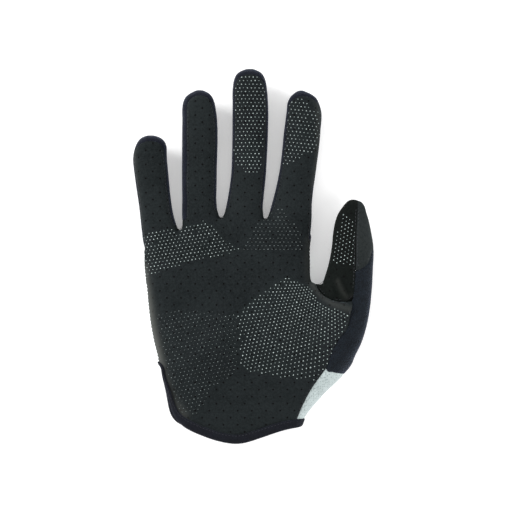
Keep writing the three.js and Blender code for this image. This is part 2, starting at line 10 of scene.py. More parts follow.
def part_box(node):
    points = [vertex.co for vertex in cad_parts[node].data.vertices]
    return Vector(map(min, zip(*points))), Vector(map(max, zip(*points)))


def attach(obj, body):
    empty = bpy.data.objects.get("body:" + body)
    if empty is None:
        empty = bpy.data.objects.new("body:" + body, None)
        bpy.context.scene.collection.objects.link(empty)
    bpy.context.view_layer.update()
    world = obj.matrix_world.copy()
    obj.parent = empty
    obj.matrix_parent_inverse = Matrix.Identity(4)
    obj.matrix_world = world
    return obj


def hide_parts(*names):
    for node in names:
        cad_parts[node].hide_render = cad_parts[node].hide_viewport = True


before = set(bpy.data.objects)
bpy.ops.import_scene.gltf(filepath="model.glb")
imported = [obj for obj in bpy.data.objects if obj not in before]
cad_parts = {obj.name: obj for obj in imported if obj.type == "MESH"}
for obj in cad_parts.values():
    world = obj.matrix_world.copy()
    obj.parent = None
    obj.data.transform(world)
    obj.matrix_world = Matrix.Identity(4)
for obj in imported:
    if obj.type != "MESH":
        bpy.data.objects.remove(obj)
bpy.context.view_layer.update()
MM = 0.001

# Sizes in millimetres, the same as the CAD part's
PALM_W, PALM_L, PALM_T, SIDE_H = 101.4, 132.0, 25.0, 9.0
HOLLOW, ARCH = 2.2, 62.0
FINGER_T, CURL, SINK = 16.4, 4.5, 0.4
THUMB_LEN, THUMB_W, THUMB_T, THUMB_LEAN = 112.0, 26.4, 20.0, 13.0
CLOTH, GAP = 1.4, 0.3
TAPE_W, TAPE_T, TAPE_CLEAR = 5.4, 1.0, 0.3
# Powers of the oval sections, the palm's depth below its sides, the share of its width there
PALM_POWER, FINGER_POWER, BELLY, SIDE_SHARE = 2.5, 2.35, 1.22, 0.35
# Middle of the arch, middle of the hollow and its width, in shares of the palm's width
ARCH_AT, HOLLOW_AT, HOLLOW_WIDE = 0.086, -0.06, 0.30
# Blends where the palm lifts off the floor, at the fingers, at the thumb and at the floor
HEEL_BLEND, FINGER_BLEND, THUMB_BLEND, FLOOR_BLEND = 1.5, 2.2, 3.0, 1.2
# Least half size of a finger, grid of the skin, its corners, least heights over the floor
LEAST_HALF, GRID = 0.5, 0.8
SKIN_LO, SKIN_HI, SKIN_FLOOR, FLOOR_GAP = (-58, -145, -1.0), (92, 94, 27), 0.05, 0.03
# The photograph: millimetres per pixel, the hand frame's origin in pixels, and pixels per side
PIXEL, PHOTO_ORIGIN, PHOTO_SIDE = 0.6, (225.5, 222.0), 512

# Palm rows: down, left, right, top, lift, cup, arch
PALM = np.array([
    [-0.016, -0.478, 0.500, 0.60, 0.00, 0.0, 1.00],
    [0.070, -0.479, 0.503, 0.70, 0.00, 0.1, 0.80],
    [0.170, -0.471, 0.503, 0.82, 0.00, 0.5, 0.50],
    [0.255, -0.466, 0.512, 0.89, 0.00, 0.8, 0.22],
    [0.285, -0.462, 0.582, 0.91, 0.00, 0.9, 0.06],
    [0.364, -0.454, 0.618, 0.96, 0.00, 1.0, 0.00],
    [0.455, -0.440, 0.662, 1.00, 0.00, 1.0, 0.00],
    [0.545, -0.419, 0.714, 1.00, 0.00, 0.9, 0.00],
    [0.636, -0.391, 0.746, 0.98, 0.00, 0.7, 0.00],
    [0.700, -0.388, 0.688, 0.96, 0.06, 0.5, 0.00],
    [0.790, -0.378, 0.578, 0.94, 0.08, 0.3, 0.00],
    [0.890, -0.364, 0.472, 0.92, 0.09, 0.1, 0.00],
    [1.040, -0.342, 0.428, 0.91, 0.09, 0.0, 0.00],
])
# Fingers: width, length, lean, seat across, seat down, tip rim, left rim, right rim,
# and rows of along, shift, wide
FINGERS = {
    "little": (20.4, 76.2, -5.8, -0.363, 0.182, 3.4, 0.4, 1.0, [
        [0.000, 0.05, 0.80], [0.120, 0.01, 1.08], [0.250, -0.02, 1.08], [0.350, -0.06, 1.00],
        [0.450, -0.08, 0.97], [0.780, -0.10, 1.01], [0.860, -0.07, 0.98], [0.920, -0.02, 0.90],
        [0.960, 0.00, 0.74], [0.986, 0.00, 0.50], [1.000, 0.00, 0.20]]),
    "ring": (20.9, 101.6, -1.6, -0.122, 0.173, 3.0, 2.6, 1.0, [
        [0.000, 0.00, 0.85], [0.120, -0.02, 1.12], [0.200, -0.04, 1.12], [0.250, -0.07, 1.07],
        [0.320, -0.10, 1.00], [0.470, -0.08, 1.00], [0.830, -0.02, 1.00], [0.888, -0.03, 0.97],
        [0.930, -0.03, 0.90], [0.965, -0.02, 0.74], [0.986, 0.00, 0.50], [1.000, 0.00, 0.18]]),
    "middle": (21.4, 113.2, 2.8, 0.093, 0.164, 3.0, 1.0, 1.0, [
        [0.000, 0.00, 0.85], [0.120, 0.00, 1.16], [0.213, 0.02, 1.12], [0.277, 0.04, 1.03],
        [0.340, 0.07, 1.00], [0.468, 0.11, 0.98], [0.640, 0.10, 1.00], [0.820, 0.06, 1.00],
        [0.900, 0.025, 0.96], [0.947, 0.01, 0.87], [0.977, 0.00, 0.70], [0.992, 0.00, 0.48],
        [1.000, 0.00, 0.22]]),
    "index": (22.0, 101.6, 4.8, 0.366, 0.173, 3.0, 1.0, 0.4, [
        [0.000, -0.05, 0.85], [0.120, -0.03, 1.20], [0.249, -0.01, 1.20], [0.320, 0.01, 1.11],
        [0.390, 0.04, 1.05], [0.533, 0.10, 1.00], [0.760, 0.13, 1.00], [0.888, 0.125, 0.94],
        [0.930, 0.09, 0.86], [0.965, 0.065, 0.68], [0.987, 0.03, 0.42], [1.000, 0.00, 0.16]]),
}
# The row of the little finger at its outermost place
LITTLE_SIDE_ROW = 5
# Thumb rows: along, shift, wide, deep, height, turn
THUMB_SEAT = (0.507, 0.727)
THUMB = np.array([
    [0.000, 0.00, 0.66, 0.80, 0.56, -30],
    [0.132, 0.18, 1.12, 1.15, 0.62, -25],
    [0.264, 0.31, 1.26, 1.16, 0.62, -15],
    [0.407, 0.345, 1.22, 1.06, 0.62, -10],
    [0.527, 0.335, 1.12, 1.00, 0.65, -10],
    [0.637, 0.305, 1.01, 0.97, 0.69, -7],
    [0.736, 0.25, 0.95, 0.94, 0.73, -2],
    [0.824, 0.155, 0.86, 0.88, 0.76, 0],
    [0.880, 0.10, 0.77, 0.80, 0.77, 0],
    [0.930, 0.06, 0.63, 0.68, 0.78, 1],
    [0.970, 0.05, 0.46, 0.50, 0.79, 2],
    [0.992, 0.025, 0.28, 0.30, 0.79, 2],
    [1.000, 0.00, 0.10, 0.12, 0.79, 2],
])
# Edges of the panels, in shares of the palm's width and length
ROLL_EDGE = [[0.530, 0.270], [0.551, 0.305], [0.577, 0.330], [0.618, 0.350], [0.660, 0.360],
             [0.730, 0.361], [0.900, 0.350]]
ROLL_FAR = [[1.200, -0.400], [0.630, -0.400], [0.590, 0.100]]
SUEDE_TOP = [[0.620, 0.190], [0.530, 0.100], [0.400, 0.000], [0.230, -0.060], [0.086, -0.070],
             [-0.030, -0.060], [-0.275, 0.000], [-0.420, 0.110], [-0.800, 0.130], [-0.800, 1.100]]
THUMB_SEAM = [[0.790, -0.200], [0.782, -0.065], [0.773, 0.055], [0.770, 0.200], [0.760, 0.320],
              [0.746, 0.390], [0.720, 0.485], [0.677, 0.525], [0.630, 0.590], [0.600, 0.655],
              [0.545, 0.718], [0.500, 0.772], [0.465, 0.828], [0.439, 0.875], [0.390, 0.960],
              [0.300, 1.100]]
THUMB_PANEL = [[0.548, 0.270], [0.545, 0.400], [0.562, 0.560], [0.598, 0.668], [0.636, 0.681],
               [0.690, 0.690], [0.950, 0.710], [1.000, -0.300], [0.630, -0.300], [0.590, 0.100]]
THUMB_PATCH = [[0.600, 0.130], [0.700, 0.205], [0.772, 0.222], [0.846, 0.190], [0.876, 0.125],
               [0.960, 0.060], [1.000, -0.300], [0.500, -0.300]]
# Points of the panel and patch that are a curve, and where the seam starts to bound the suede
PANEL_CURVE, PATCH_CURVE, SEAM_START = 7, 6, 0.30
FINGER_LINES = [
    [[-0.900, 0.170], [-0.900, -0.800]],
    [[-0.270, 0.125], [-0.275, 0.050], [-0.296, -0.200], [-0.305, -0.800]],
    [[-0.020, 0.075], [-0.027, 0.000], [-0.012, -0.350], [-0.012, -0.800]],
    [[0.232, 0.080], [0.234, 0.000], [0.290, -0.350], [0.320, -0.800]],
    [[0.530, 0.140], [0.530, 0.060], [0.700, -0.500], [0.700, -0.800]],
]
# Roots of the gaps beside the fingers, in photograph pixels, into which the suede drops
WEBS = [(179, 229), (220.5, 217), (264.7, 219), (314, 283)]
WEB_DROP, WEB_WIDE = 6.5, 5.0
# Start of a finger's front, and how far down the thumb's front reaches, in its half depths
FRONT_START, THUMB_FRONT_DOWN = 0.02, 0.45
# Cuff edge: palm across, palm down, back across, back down, share of the tape's width
CUFF = np.array([
    [-0.640, 0.600, -0.640, 0.600, 0.40],
    [-0.400, 0.648, -0.402, 0.648, 0.42],
    [-0.372, 0.695, -0.382, 0.695, 0.46],
    [-0.342, 0.758, -0.360, 0.762, 0.50],
    [-0.315, 0.822, -0.346, 0.826, 0.60],
    [-0.280, 0.886, -0.330, 0.882, 0.80],
    [-0.225, 0.936, -0.280, 0.923, 1.00],
    [-0.122, 0.976, -0.140, 0.950, 1.00],
    [-0.033, 1.001, -0.033, 0.960, 1.00],
    [0.062, 1.014, 0.062, 0.965, 1.00],
    [0.130, 1.007, 0.130, 0.960, 1.00],
    [0.208, 0.986, 0.210, 0.952, 1.00],
    [0.350, 0.947, 0.350, 0.936, 1.00],
    [0.458, 0.932, 0.458, 0.930, 1.00],
    [0.800, 0.905, 0.800, 0.905, 1.00],
])
CUFF_FAR = [[1.200, -1.000], [-1.200, -1.000], [-1.200, 0.500]]
# Heights between which the cuff's edge goes over from the back's line to the palm's
CUFF_LOWEST, CUFF_SPAN = -2, PALM_T + 6


def plan(points):
    """Plan points in shares of the palm as millimetres."""
    return np.array(points, float)[:, :2] * [PALM_W, -PALM_L]


def smooth_rows(rows, count=400, squared=(), tight=False):
    """Rows of a table on a smooth curve through them, column 0 rising."""
    rows = np.array(rows, float)
    t = rows[:, 0]
    fine = np.linspace(t[0], t[-1], count)
    out = [fine]
    for k in range(1, rows.shape[1]):
        v = rows[:, k] ** 2 if k in squared else rows[:, k]
        slope = np.gradient(v, t)
        step = np.diff(v) / np.diff(t)
        for i in range(len(t)):
            a, b = step[max(i - 1, 0)], step[min(i, len(step) - 1)]
            most = 3 * abs((min if tight else max)(a, b, key=abs))
            slope[i] = 0 if a * b < 0 and abs(a * b) > 1e-4 else np.clip(slope[i], -most, most)
        i = np.clip(np.searchsorted(t, fine) - 1, 0, len(t) - 2)
        h = t[i + 1] - t[i]
        s = (fine - t[i]) / h
        w = (2 * s**3 - 3 * s**2 + 1) * v[i] + (s**3 - 2 * s**2 + s) * h * slope[i]
        w += (-2 * s**3 + 3 * s**2) * v[i + 1] + (s**3 - s**2) * h * slope[i + 1]
        out.append(np.sqrt(np.maximum(w, 0)) if k in squared else w)
    return np.array(out).T


def at(rows, x, k):
    """Column k of smooth rows at x."""
    return np.interp(x, rows[:, 0], rows[:, k])


def smin(a, b, k):
    """Smooth union of two distances."""
    h = np.clip(0.5 + 0.5 * (b - a) / k, 0, 1)
    return b + (a - b) * h - k * h * (1 - h)


def bell(distance, width):
    """1 at no distance, falling off softly over a width."""
    return np.exp(-((distance / width) ** 2))


def unit(v):
    """Vectors of length 1."""
    return v / np.maximum(np.linalg.norm(v, axis=1, keepdims=True), 1e-12)


def above_floor(v, least=FLOOR_GAP):
    """Lifts points that lie too near the floor."""
    v[..., 2] = np.maximum(v[..., 2], least)


def line_distance(points, line):
    """Plain distance in plan to a line of points."""
    best = np.full(len(points), 1e9)
    x, y = points[:, 0], points[:, 1]
    for a, b in zip(line[:-1], line[1:]):
        d = b - a
        s = np.clip(((x - a[0]) * d[0] + (y - a[1]) * d[1]) / max(d @ d, 1e-9), 0, 1)
        best = np.minimum(best, np.hypot(x - a[0] - s * d[0], y - a[1] - s * d[1]))
    return best


def polygon_distance(points, outline):
    """Distance in plan to an outline, positive inside."""
    ring = np.concatenate([outline, outline[:1]])
    inside = np.zeros(len(points), bool)
    x, y = points[:, 0], points[:, 1]
    for a, b in zip(ring[:-1], ring[1:]):
        if a[1] != b[1]:
            crosses = (a[1] > y) != (b[1] > y)
            inside ^= crosses & (x < a[0] + (y - a[1]) * (b[0] - a[0]) / (b[1] - a[1]))
    best = line_distance(points, ring)
    return np.where(inside, best, -best)


def rounded(points, steps=6):
    """Catmull-Rom curve through plan points."""
    p = np.array(points, float)
    last = len(p) - 1
    out = []
    for i in range(last):
        a, b, c, d = p[[max(i - 1, 0), i, i + 1, min(i + 2, last)]]
        for s in np.linspace(0, 1, steps, endpoint=False):
            out.append(0.5 * (2 * b + (c - a) * s + (2 * a - 5 * b + 4 * c - d) * s**2
                              + (3 * b - a - 3 * c + d) * s**3))
    return np.array(out + [p[-1]])


PALM_F = smooth_rows(PALM, tight=True)
THUMB_F = smooth_rows(THUMB, squared=(2, 3))
FINGER_F = {name: smooth_rows(f[8], squared=(2,)) for name, f in FINGERS.items()}


def palm_field(x, y, z):
    """Distance to the palm body, less than 0 inside."""
    across = x / PALM_W
    # The arch drops each row, so the row's place is found by steps
    down = -y / PALM_L
    for _ in range(4):
        down = -(y + at(PALM_F, down, 6) * ARCH * (across - ARCH_AT) ** 2) / PALM_L
    left, right = at(PALM_F, down, 1) * PALM_W, at(PALM_F, down, 2) * PALM_W
    top, floor = at(PALM_F, down, 3) * PALM_T, np.maximum(at(PALM_F, down, 4), 0) * PALM_T
    cup = at(PALM_F, down, 5) * HOLLOW * bell(across - HOLLOW_AT, HOLLOW_WIDE)
    half = (right - left) / 2
    u = (x - (left + right) / 2) / half
    up = z > SIDE_H
    high = top - SIDE_H
    v = np.where(up, (z - SIDE_H) / (high - cup * np.clip((z - SIDE_H) / high, 0, 1)),
                 (SIDE_H - z) / (SIDE_H * BELLY))
    r = (np.abs(u) ** PALM_POWER + np.abs(v) ** PALM_POWER) ** (1 / PALM_POWER)
    scale = np.where(up, high, SIDE_H * BELLY)
    d = (r - 1) * (scale + (half - scale) * np.clip(np.abs(u) - np.abs(v), 0, 1) * SIDE_SHARE)
    end = (PALM_F[0, 0] - down) * PALM_L
    d = np.maximum(d, end)
    return -smin(-d, -(floor - z), HEEL_BLEND)


def tube_field(side, up, hw, hd, beyond):
    """Distance to a tube of oval section, rounded off beyond its ends."""
    hw, hd = np.maximum(hw, LEAST_HALF), np.maximum(hd, LEAST_HALF)
    r = (np.abs(side / hw) ** FINGER_POWER + np.abs(up / hd) ** FINGER_POWER) ** (1 / FINGER_POWER)
    d = (r - 1) * np.minimum(hw, hd)
    return np.where(beyond > 0, np.sqrt(np.maximum(d, 0) ** 2 + beyond**2), d)


def finger_centre(name, a):
    """Centre x, centre z, half width and half depth of a finger at a share of its length."""
    width, length, lean, across, down, *_ = FINGERS[name]
    rows = FINGER_F[name]
    a = np.clip(a, 0, 1)
    wide = at(rows, a, 2)
    cx = across * PALM_W + math.sin(math.radians(lean)) * a * length + at(rows, a, 1) * width
    cz = FINGER_T / 2 - SINK + CURL * a * a
    return cx, cz, wide * width / 2, FINGER_T / 2 * np.minimum(wide, 1) ** 0.85


def finger_field(name, x, y, z):
    _, length, lean, _, down, *_ = FINGERS[name]
    a = (y + down * PALM_L) / (math.cos(math.radians(lean)) * length)
    cx, cz, hw, hd = finger_centre(name, a)
    return tube_field(x - cx, z - cz, hw, hd, np.maximum(a - 1, -a) * length)


def thumb_place(x, y):
    """Share along the thumb and sideways distance from its centre line."""
    lean = math.radians(THUMB_LEAN)
    a = (y + THUMB_SEAT[1] * PALM_L) / (math.cos(lean) * THUMB_LEN)
    for _ in range(5):
        c = np.clip(a, 0, 1)
        turn = np.radians(at(THUMB_F, c, 5))
        cx = THUMB_SEAT[0] * PALM_W + math.sin(lean) * c * THUMB_LEN + at(THUMB_F, c, 1) * THUMB_W
        s = (x - cx) / np.cos(turn)
        a = (y - s * np.sin(turn) + THUMB_SEAT[1] * PALM_L) / (math.cos(lean) * THUMB_LEN)
    return a, s


def thumb_field(x, y, z):
    a, s = thumb_place(x, y)
    c = np.clip(a, 0, 1)
    hw, hd = at(THUMB_F, c, 2) * THUMB_W / 2, at(THUMB_F, c, 3) * THUMB_T / 2
    return tube_field(s, z - at(THUMB_F, c, 4) * THUMB_T, hw, hd, np.maximum(a - 1, -a) * THUMB_LEN)


def field(p):
    """Distance to the whole glove over points, less than 0 inside."""
    x, y, z = p[..., 0], p[..., 1], p[..., 2]
    d = palm_field(x, y, z)
    for name in FINGERS:
        d = smin(d, finger_field(name, x, y, z), FINGER_BLEND)
    d = smin(d, thumb_field(x, y, z), THUMB_BLEND)
    return -smin(-d, -(0.02 - z), FLOOR_BLEND)


def surface_net(lo, hi, step):
    """Smooth closed mesh of the field's zero surface, as vertices and quads."""
    n = np.ceil((np.array(hi) - lo) / step).astype(int) + 1
    axes = [lo[k] + step * np.arange(n[k]) for k in range(3)]
    g = np.stack(np.meshgrid(*axes, indexing="ij"), -1)
    f = np.concatenate([field(block) for block in np.array_split(g, 8)])
    inside = f < 0
    corner = [(i, j, k) for i in (0, 1) for j in (0, 1) for k in (0, 1)]
    total = np.zeros(n - 1, int)
    for i, j, k in corner:
        total += inside[i:n[0] - 1 + i, j:n[1] - 1 + j, k:n[2] - 1 + k]
    cells = np.argwhere((total > 0) & (total < 8))
    number = np.full(n - 1, -1)
    number[tuple(cells.T)] = np.arange(len(cells))
    point = np.zeros((len(cells), 3))
    weight = np.zeros(len(cells))
    for a in corner:
        for axis in range(3):
            if a[axis] == 1:
                continue
            b = tuple(v + (k == axis) for k, v in enumerate(a))
            fa = f[tuple((cells + a).T)]
            fb = f[tuple((cells + b).T)]
            cross = (fa < 0) != (fb < 0)
            t = np.where(cross, fa / np.where(cross, fa - fb, 1), 0)
            where = (cells + a).astype(float)
            where[:, axis] += t
            point += where * cross[:, None]
            weight += cross
    verts = np.array(lo) + step * point / weight[:, None]
    quads = []
    for axis in range(3):
        u, v = [k for k in range(3) if k != axis]
        head = np.take(inside, range(n[axis] - 1), axis)
        tail = np.take(inside, range(1, n[axis]), axis)
        edge = np.argwhere(head != tail)
        edge = edge[(edge[:, u] > 0) & (edge[:, v] > 0) & (edge[:, u] < n[u] - 1) & (edge[:, v] < n[v] - 1)]
        ring = []
        for du, dv in ((-1, -1), (0, -1), (0, 0), (-1, 0)):
            c = edge.copy()
            c[:, u] += du
            c[:, v] += dv
            ring.append(number[tuple(c.T)])
        q = np.array(ring).T
        flip = inside[tuple(edge.T)] ^ (axis == 1)
        q[~flip] = q[~flip][:, ::-1]
        quads.append(q)
    return verts, np.concatenate(quads)


def triangles(quads):
    return np.concatenate([quads[:, [0, 1, 2]], quads[:, [0, 2, 3]]])


def normals_of(v, f):
    n = np.cross(v[f[:, 1]] - v[f[:, 0]], v[f[:, 2]] - v[f[:, 0]])
    out = np.zeros_like(v)
    for k in range(3):
        np.add.at(out, f[:, k], n)
    return unit(out)


def sides_of(f):
    """The three sides of each triangle."""
    return np.concatenate([f[:, [0, 1]], f[:, [1, 2]], f[:, [2, 0]]])


def rim_of(f):
    """Sides that only one triangle has."""
    e = sides_of(f)
    _, inv, count = np.unique(np.sort(e, 1), axis=0, return_inverse=True, return_counts=True)
    return e[count[inv.ravel()] == 1]


def relax(v, f, rounds, amount=0.5):
    """Evens out a mesh, each vertex moving towards its neighbours' middle and back."""
    e = np.unique(np.sort(sides_of(f), 1), axis=0)
    count = np.bincount(e.ravel(), minlength=len(v))[:, None]
    for k in range(rounds):
        total = np.zeros_like(v)
        np.add.at(total, e[:, 0], v[e[:, 1]])
        np.add.at(total, e[:, 1], v[e[:, 0]])
        v = v + (amount if k % 2 == 0 else -amount * 1.04) * (total / np.maximum(count, 1) - v)
    return v


def at_zero(g, pairs, *values):
    """Values where g crosses 0 between the two points of each pair."""
    a, b = pairs.T
    s = (g[a] / (g[a] - g[b]))[:, None]
    return [q[a] + s * (q[b] - q[a]) for q in values]


def clip(v, f, g, n, least=0.03):
    """Keeps the triangles where g is above 0, cut cleanly along it: points, triangles, normals."""
    g = np.where(np.abs(g) < least, np.where(g < 0, -least, least), g)
    inside = g[f] > 0
    count = inside.sum(1)

    def rotated(sel, odd):
        t = f[sel]
        first = np.argmax(odd, 1)
        return np.stack([t[np.arange(len(t)), (first + k) % 3] for k in range(3)], 1)

    one, two = count == 1, count == 2
    t1 = rotated(one, inside[one])
    t2 = rotated(two, ~inside[two])
    pairs = np.concatenate([t1[:, [0, 1]], t1[:, [0, 2]], t2[:, [1, 0]], t2[:, [2, 0]]])
    uniq, inv = np.unique(np.sort(pairs, 1), axis=0, return_inverse=True)
    new = len(v) + inv.ravel()
    a, b = len(t1), len(t2)
    ab, ac, pb, pc = new[:a], new[a:2 * a], new[2 * a:2 * a + b], new[2 * a + b:]
    cut = [(t1[:, 0], ab, ac), (pb, t2[:, 1], t2[:, 2]), (pb, t2[:, 2], pc)]
    keep = np.concatenate([f[count == 3]] + [np.stack(corners, 1) for corners in cut])
    used, index = np.unique(keep, return_inverse=True)
    v2, n2 = (np.concatenate([q, fresh]) for q, fresh in zip((v, n), at_zero(g, uniq, v, n)))
    return v2[used], index.reshape(-1, 3), unit(n2)[used]


def without_scraps(v, f, least=60):
    """Numbers of the points that stay, and the triangles, without bodies of fewer triangles than least."""
    label = np.arange(len(v))
    for _ in range(400):
        low = label[f].min(1)
        new = label.copy()
        for k in range(3):
            np.minimum.at(new, f[:, k], low)
        new = new[new]
        if (new == label).all():
            break
        label = new
    body = label[f[:, 0]]
    names, count = np.unique(body, return_counts=True)
    good = np.isin(body, names[count >= least])
    used, index = np.unique(f[good], return_inverse=True)
    return used, index.reshape(-1, 3)


def from_photo(points):
    """Pixels of the photograph as plan points in the hand frame."""
    return (np.array(points, float) - PHOTO_ORIGIN) * [PIXEL, -PIXEL]


# Places of panels on the skin, each a field that is above 0 inside the panel
SEAM_LINE = rounded(plan(THUMB_SEAM))
ROLL_AREA = np.concatenate([rounded(plan(ROLL_EDGE)), plan(ROLL_FAR)])
PALM_AREA = np.concatenate([SEAM_LINE[SEAM_LINE[:, 1] < -SEAM_START * PALM_L][::-1], plan(SUEDE_TOP)])
PANEL_AREA, PATCH_AREA = (
    np.concatenate([rounded(plan(edge[:curve])), plan(edge[curve:])])
    for edge, curve in ((THUMB_PANEL, PANEL_CURVE), (THUMB_PATCH, PATCH_CURVE)))
SEAM_SIDE = np.concatenate([SEAM_LINE, [[-300, -200], [-300, 100]]])


def finger_front(name, p):
    """Distance inside the suede on the front of a finger."""
    _, length, lean, _, down, tip_rim, left_rim, right_rim, rows = FINGERS[name]
    x, y, z = p.T
    a = (y + down * PALM_L) / (math.cos(math.radians(lean)) * length)
    cx, cz, hw, hd = finger_centre(name, a)
    rim = np.where(x < cx, left_rim, right_rim)
    side = np.abs(x - cx)
    straight = hw - rim - side
    # The last five rows are the rounded tip
    start = rows[-5][0]
    end = 1 - tip_rim / length
    past = (a - start) / (end - start)
    widest = finger_centre(name, np.array([start]))[2]
    e = np.hypot(side / (widest - rim), np.maximum(past, 0))
    bowl = (1 - e) * (end - start) * length
    g = np.where(past > 0, np.minimum(straight, bowl), straight)
    g = np.where(z < cz, np.minimum(g, -rim) - (cz - z), g)
    return np.minimum(g, (a - FRONT_START) * length)


def fronts(p):
    """Distance inside the suede of the palm and of the fingers' fronts."""
    side = np.full(len(p), SIDE_H)
    for x, y in from_photo(WEBS):
        side -= WEB_DROP * np.exp(-(((p[:, 0] - x) ** 2 + (p[:, 1] - y) ** 2) / WEB_WIDE**2))
    palm = np.minimum(polygon_distance(p, PALM_AREA), p[:, 2] - side)
    for name in FINGERS:
        palm = np.maximum(palm, finger_front(name, p))
    return palm


def thumb_front_place(p):
    """Distance inside the front of the thumb."""
    a = np.clip(thumb_place(p[:, 0], p[:, 1])[0], 0, 1)
    hd = at(THUMB_F, a, 3) * THUMB_T / 2
    low = at(THUMB_F, a, 4) * THUMB_T - THUMB_FRONT_DOWN * hd
    return np.minimum(polygon_distance(p, SEAM_SIDE), p[:, 2] - low)


CUFF_LOW, CUFF_HIGH = (
    np.concatenate([rounded(plan(CUFF[:, k:k + 2])), plan(CUFF_FAR)]) for k in (2, 0))


def cuff_place(p):
    """Distance inside the cuff edge."""
    t = np.clip((p[:, 2] - CUFF_LOWEST) / CUFF_SPAN, 0, 1)
    return (1 - t) * polygon_distance(p, CUFF_LOW) + t * polygon_distance(p, CUFF_HIGH)


def finger_place(k, p):
    """Distance inside the back of a finger, between its two lines."""
    left, right = plan(FINGER_LINES[k]), plan(FINGER_LINES[k + 1])
    return polygon_distance(p, np.concatenate([right, left[::-1]]))


def panels(p):
    """Field of each panel over points."""
    roll = polygon_distance(p, ROLL_AREA)
    palm, thumb = np.minimum(fronts(p), -roll), np.minimum(thumb_front_place(p), roll)
    rest = np.minimum(-palm, -thumb)
    panel, patch = polygon_distance(p, PANEL_AREA), polygon_distance(p, PATCH_AREA)
    out = {
        "palm_panel": palm, "thumb_front": thumb, "back_panel": np.minimum(rest, -panel),
        "thumb_tip_patch": np.minimum(rest, np.minimum(panel, patch)),
        "thumb_back": np.minimum(rest, np.minimum(panel, -patch)),
    }
    for k, name in enumerate(FINGERS):
        place = finger_place(k, p)
        out["finger_back_" + name] = np.minimum(rest, place)
        out["back_panel"] = np.minimum(out["back_panel"], -place)
    return out


# The row frame's origin in the hand frame, from the middle finger's tip and the little finger's side
tip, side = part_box("finger_back_middle")[1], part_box("finger_back_little")[0]
_, length, lean, _, down, *_ = FINGERS["middle"]
MIDDLE_Y = -down * PALM_L + math.cos(math.radians(lean)) * length - tip.y * 1000
along, _, wide = FINGERS["little"][8][LITTLE_SIDE_ROW]
outermost = finger_centre("little", np.array([along]))[0][0] - wide * FINGERS["little"][0] / 2
MIDDLE_X = float(outermost) - side.x * 1000
SHIFT = np.array([MIDDLE_X, MIDDLE_Y, 0.0])

# Skin of the whole glove
skin_v, skin_q = surface_net(SKIN_LO, SKIN_HI, GRID)
skin_f = triangles(skin_q)
skin_v = relax(skin_v, skin_f, 6)
above_floor(skin_v, SKIN_FLOOR)
skin_n = normals_of(skin_v, skin_f)


# Materials
def shader(name, build):
    m = bpy.data.materials.new(name)
    m.use_nodes = True
    nt = m.node_tree
    build(nt, nt.nodes["Principled BSDF"])
    return m


def node(nt, kind, inputs=None, **settings):
    n = nt.nodes.new(kind)
    for key, value in settings.items():
        setattr(n, key, value)
    for key, value in (inputs or {}).items():
        if isinstance(value, bpy.types.NodeSocket):
            nt.links.new(value, n.inputs[key])
        else:
            n.inputs[key].default_value = value
    return n


def maths(nt, op, a, b=0.0, c=0.0):
    return node(nt, "ShaderNodeMath", {0: a, 1: b, 2: c}, operation=op).outputs[0]


def ramp(nt, value, stops):
    n = node(nt, "ShaderNodeValToRGB", {0: value})
    while len(n.color_ramp.elements) < len(stops):
        n.color_ramp.elements.new(0.5)
    for e, (place, colour) in zip(n.color_ramp.elements, stops):
        e.position = place
        e.color = (*colour, 1)
    return n.outputs[0]


def place_of(nt):
    return node(nt, "ShaderNodeTexCoord").outputs["Object"]


def noise(nt, place, scale, detail, rough=0.5):
    inputs = {"Vector": place, "Scale": scale, "Detail": detail, "Roughness": rough}
    return node(nt, "ShaderNodeTexNoise", inputs).outputs[0]


def cells(nt, place, scale, randomness):
    inputs = {"Vector": place, "Scale": scale, "Randomness": randomness}
    return node(nt, "ShaderNodeTexVoronoi", inputs).outputs["Distance"]


def rise(nt, value, low, high):
    """0 up to a low value, 1 from a high one, straight between."""
    return node(nt, "ShaderNodeMapRange", {"Value": value, "From Min": low, "From Max": high}).outputs[0]


def blend(nt, factor, a, b):
    return node(nt, "ShaderNodeMix", {0: factor, 6: a, 7: b}, data_type="RGBA").outputs[2]


def weighted(nt, first, *others):
    """Sum of values, each times its weight."""
    total = maths(nt, "MULTIPLY", *first)
    for value, weight in others:
        total = maths(nt, "ADD", total, maths(nt, "MULTIPLY", value, weight))
    return total


def bumped(nt, bsdf, height, distance, strength):
    inputs = {"Height": height, "Distance": distance, "Strength": strength}
    nt.links.new(node(nt, "ShaderNodeBump", inputs).outputs[0], bsdf.inputs["Normal"])


def dress(nt, bsdf, colour, values):
    """Links a material's colour and sets its constants."""
    nt.links.new(colour, bsdf.inputs["Base Color"])
    for key, value in values.items():
        bsdf.inputs[key].default_value = value


# Small holes of the suede, in millimetres: pitch across and down, radii, and starts in pitches
HOLES_ACROSS, HOLES_DOWN, HOLE_CLEAR, HOLE_OUTER = 8.45, 4.2, 0.44, 0.60
HOLES_START_X, HOLES_START_Y = 4.089, 3.419
# Painted shade for the holes' dark inside, and the lighter colour of the painted highlight
HOLE_PAINTED_SHADE, PAINTED_HIGHLIGHT_COLOUR = (0.0002, 0.0002, 0.0003, 1), (0.115, 0.118, 0.108, 1)


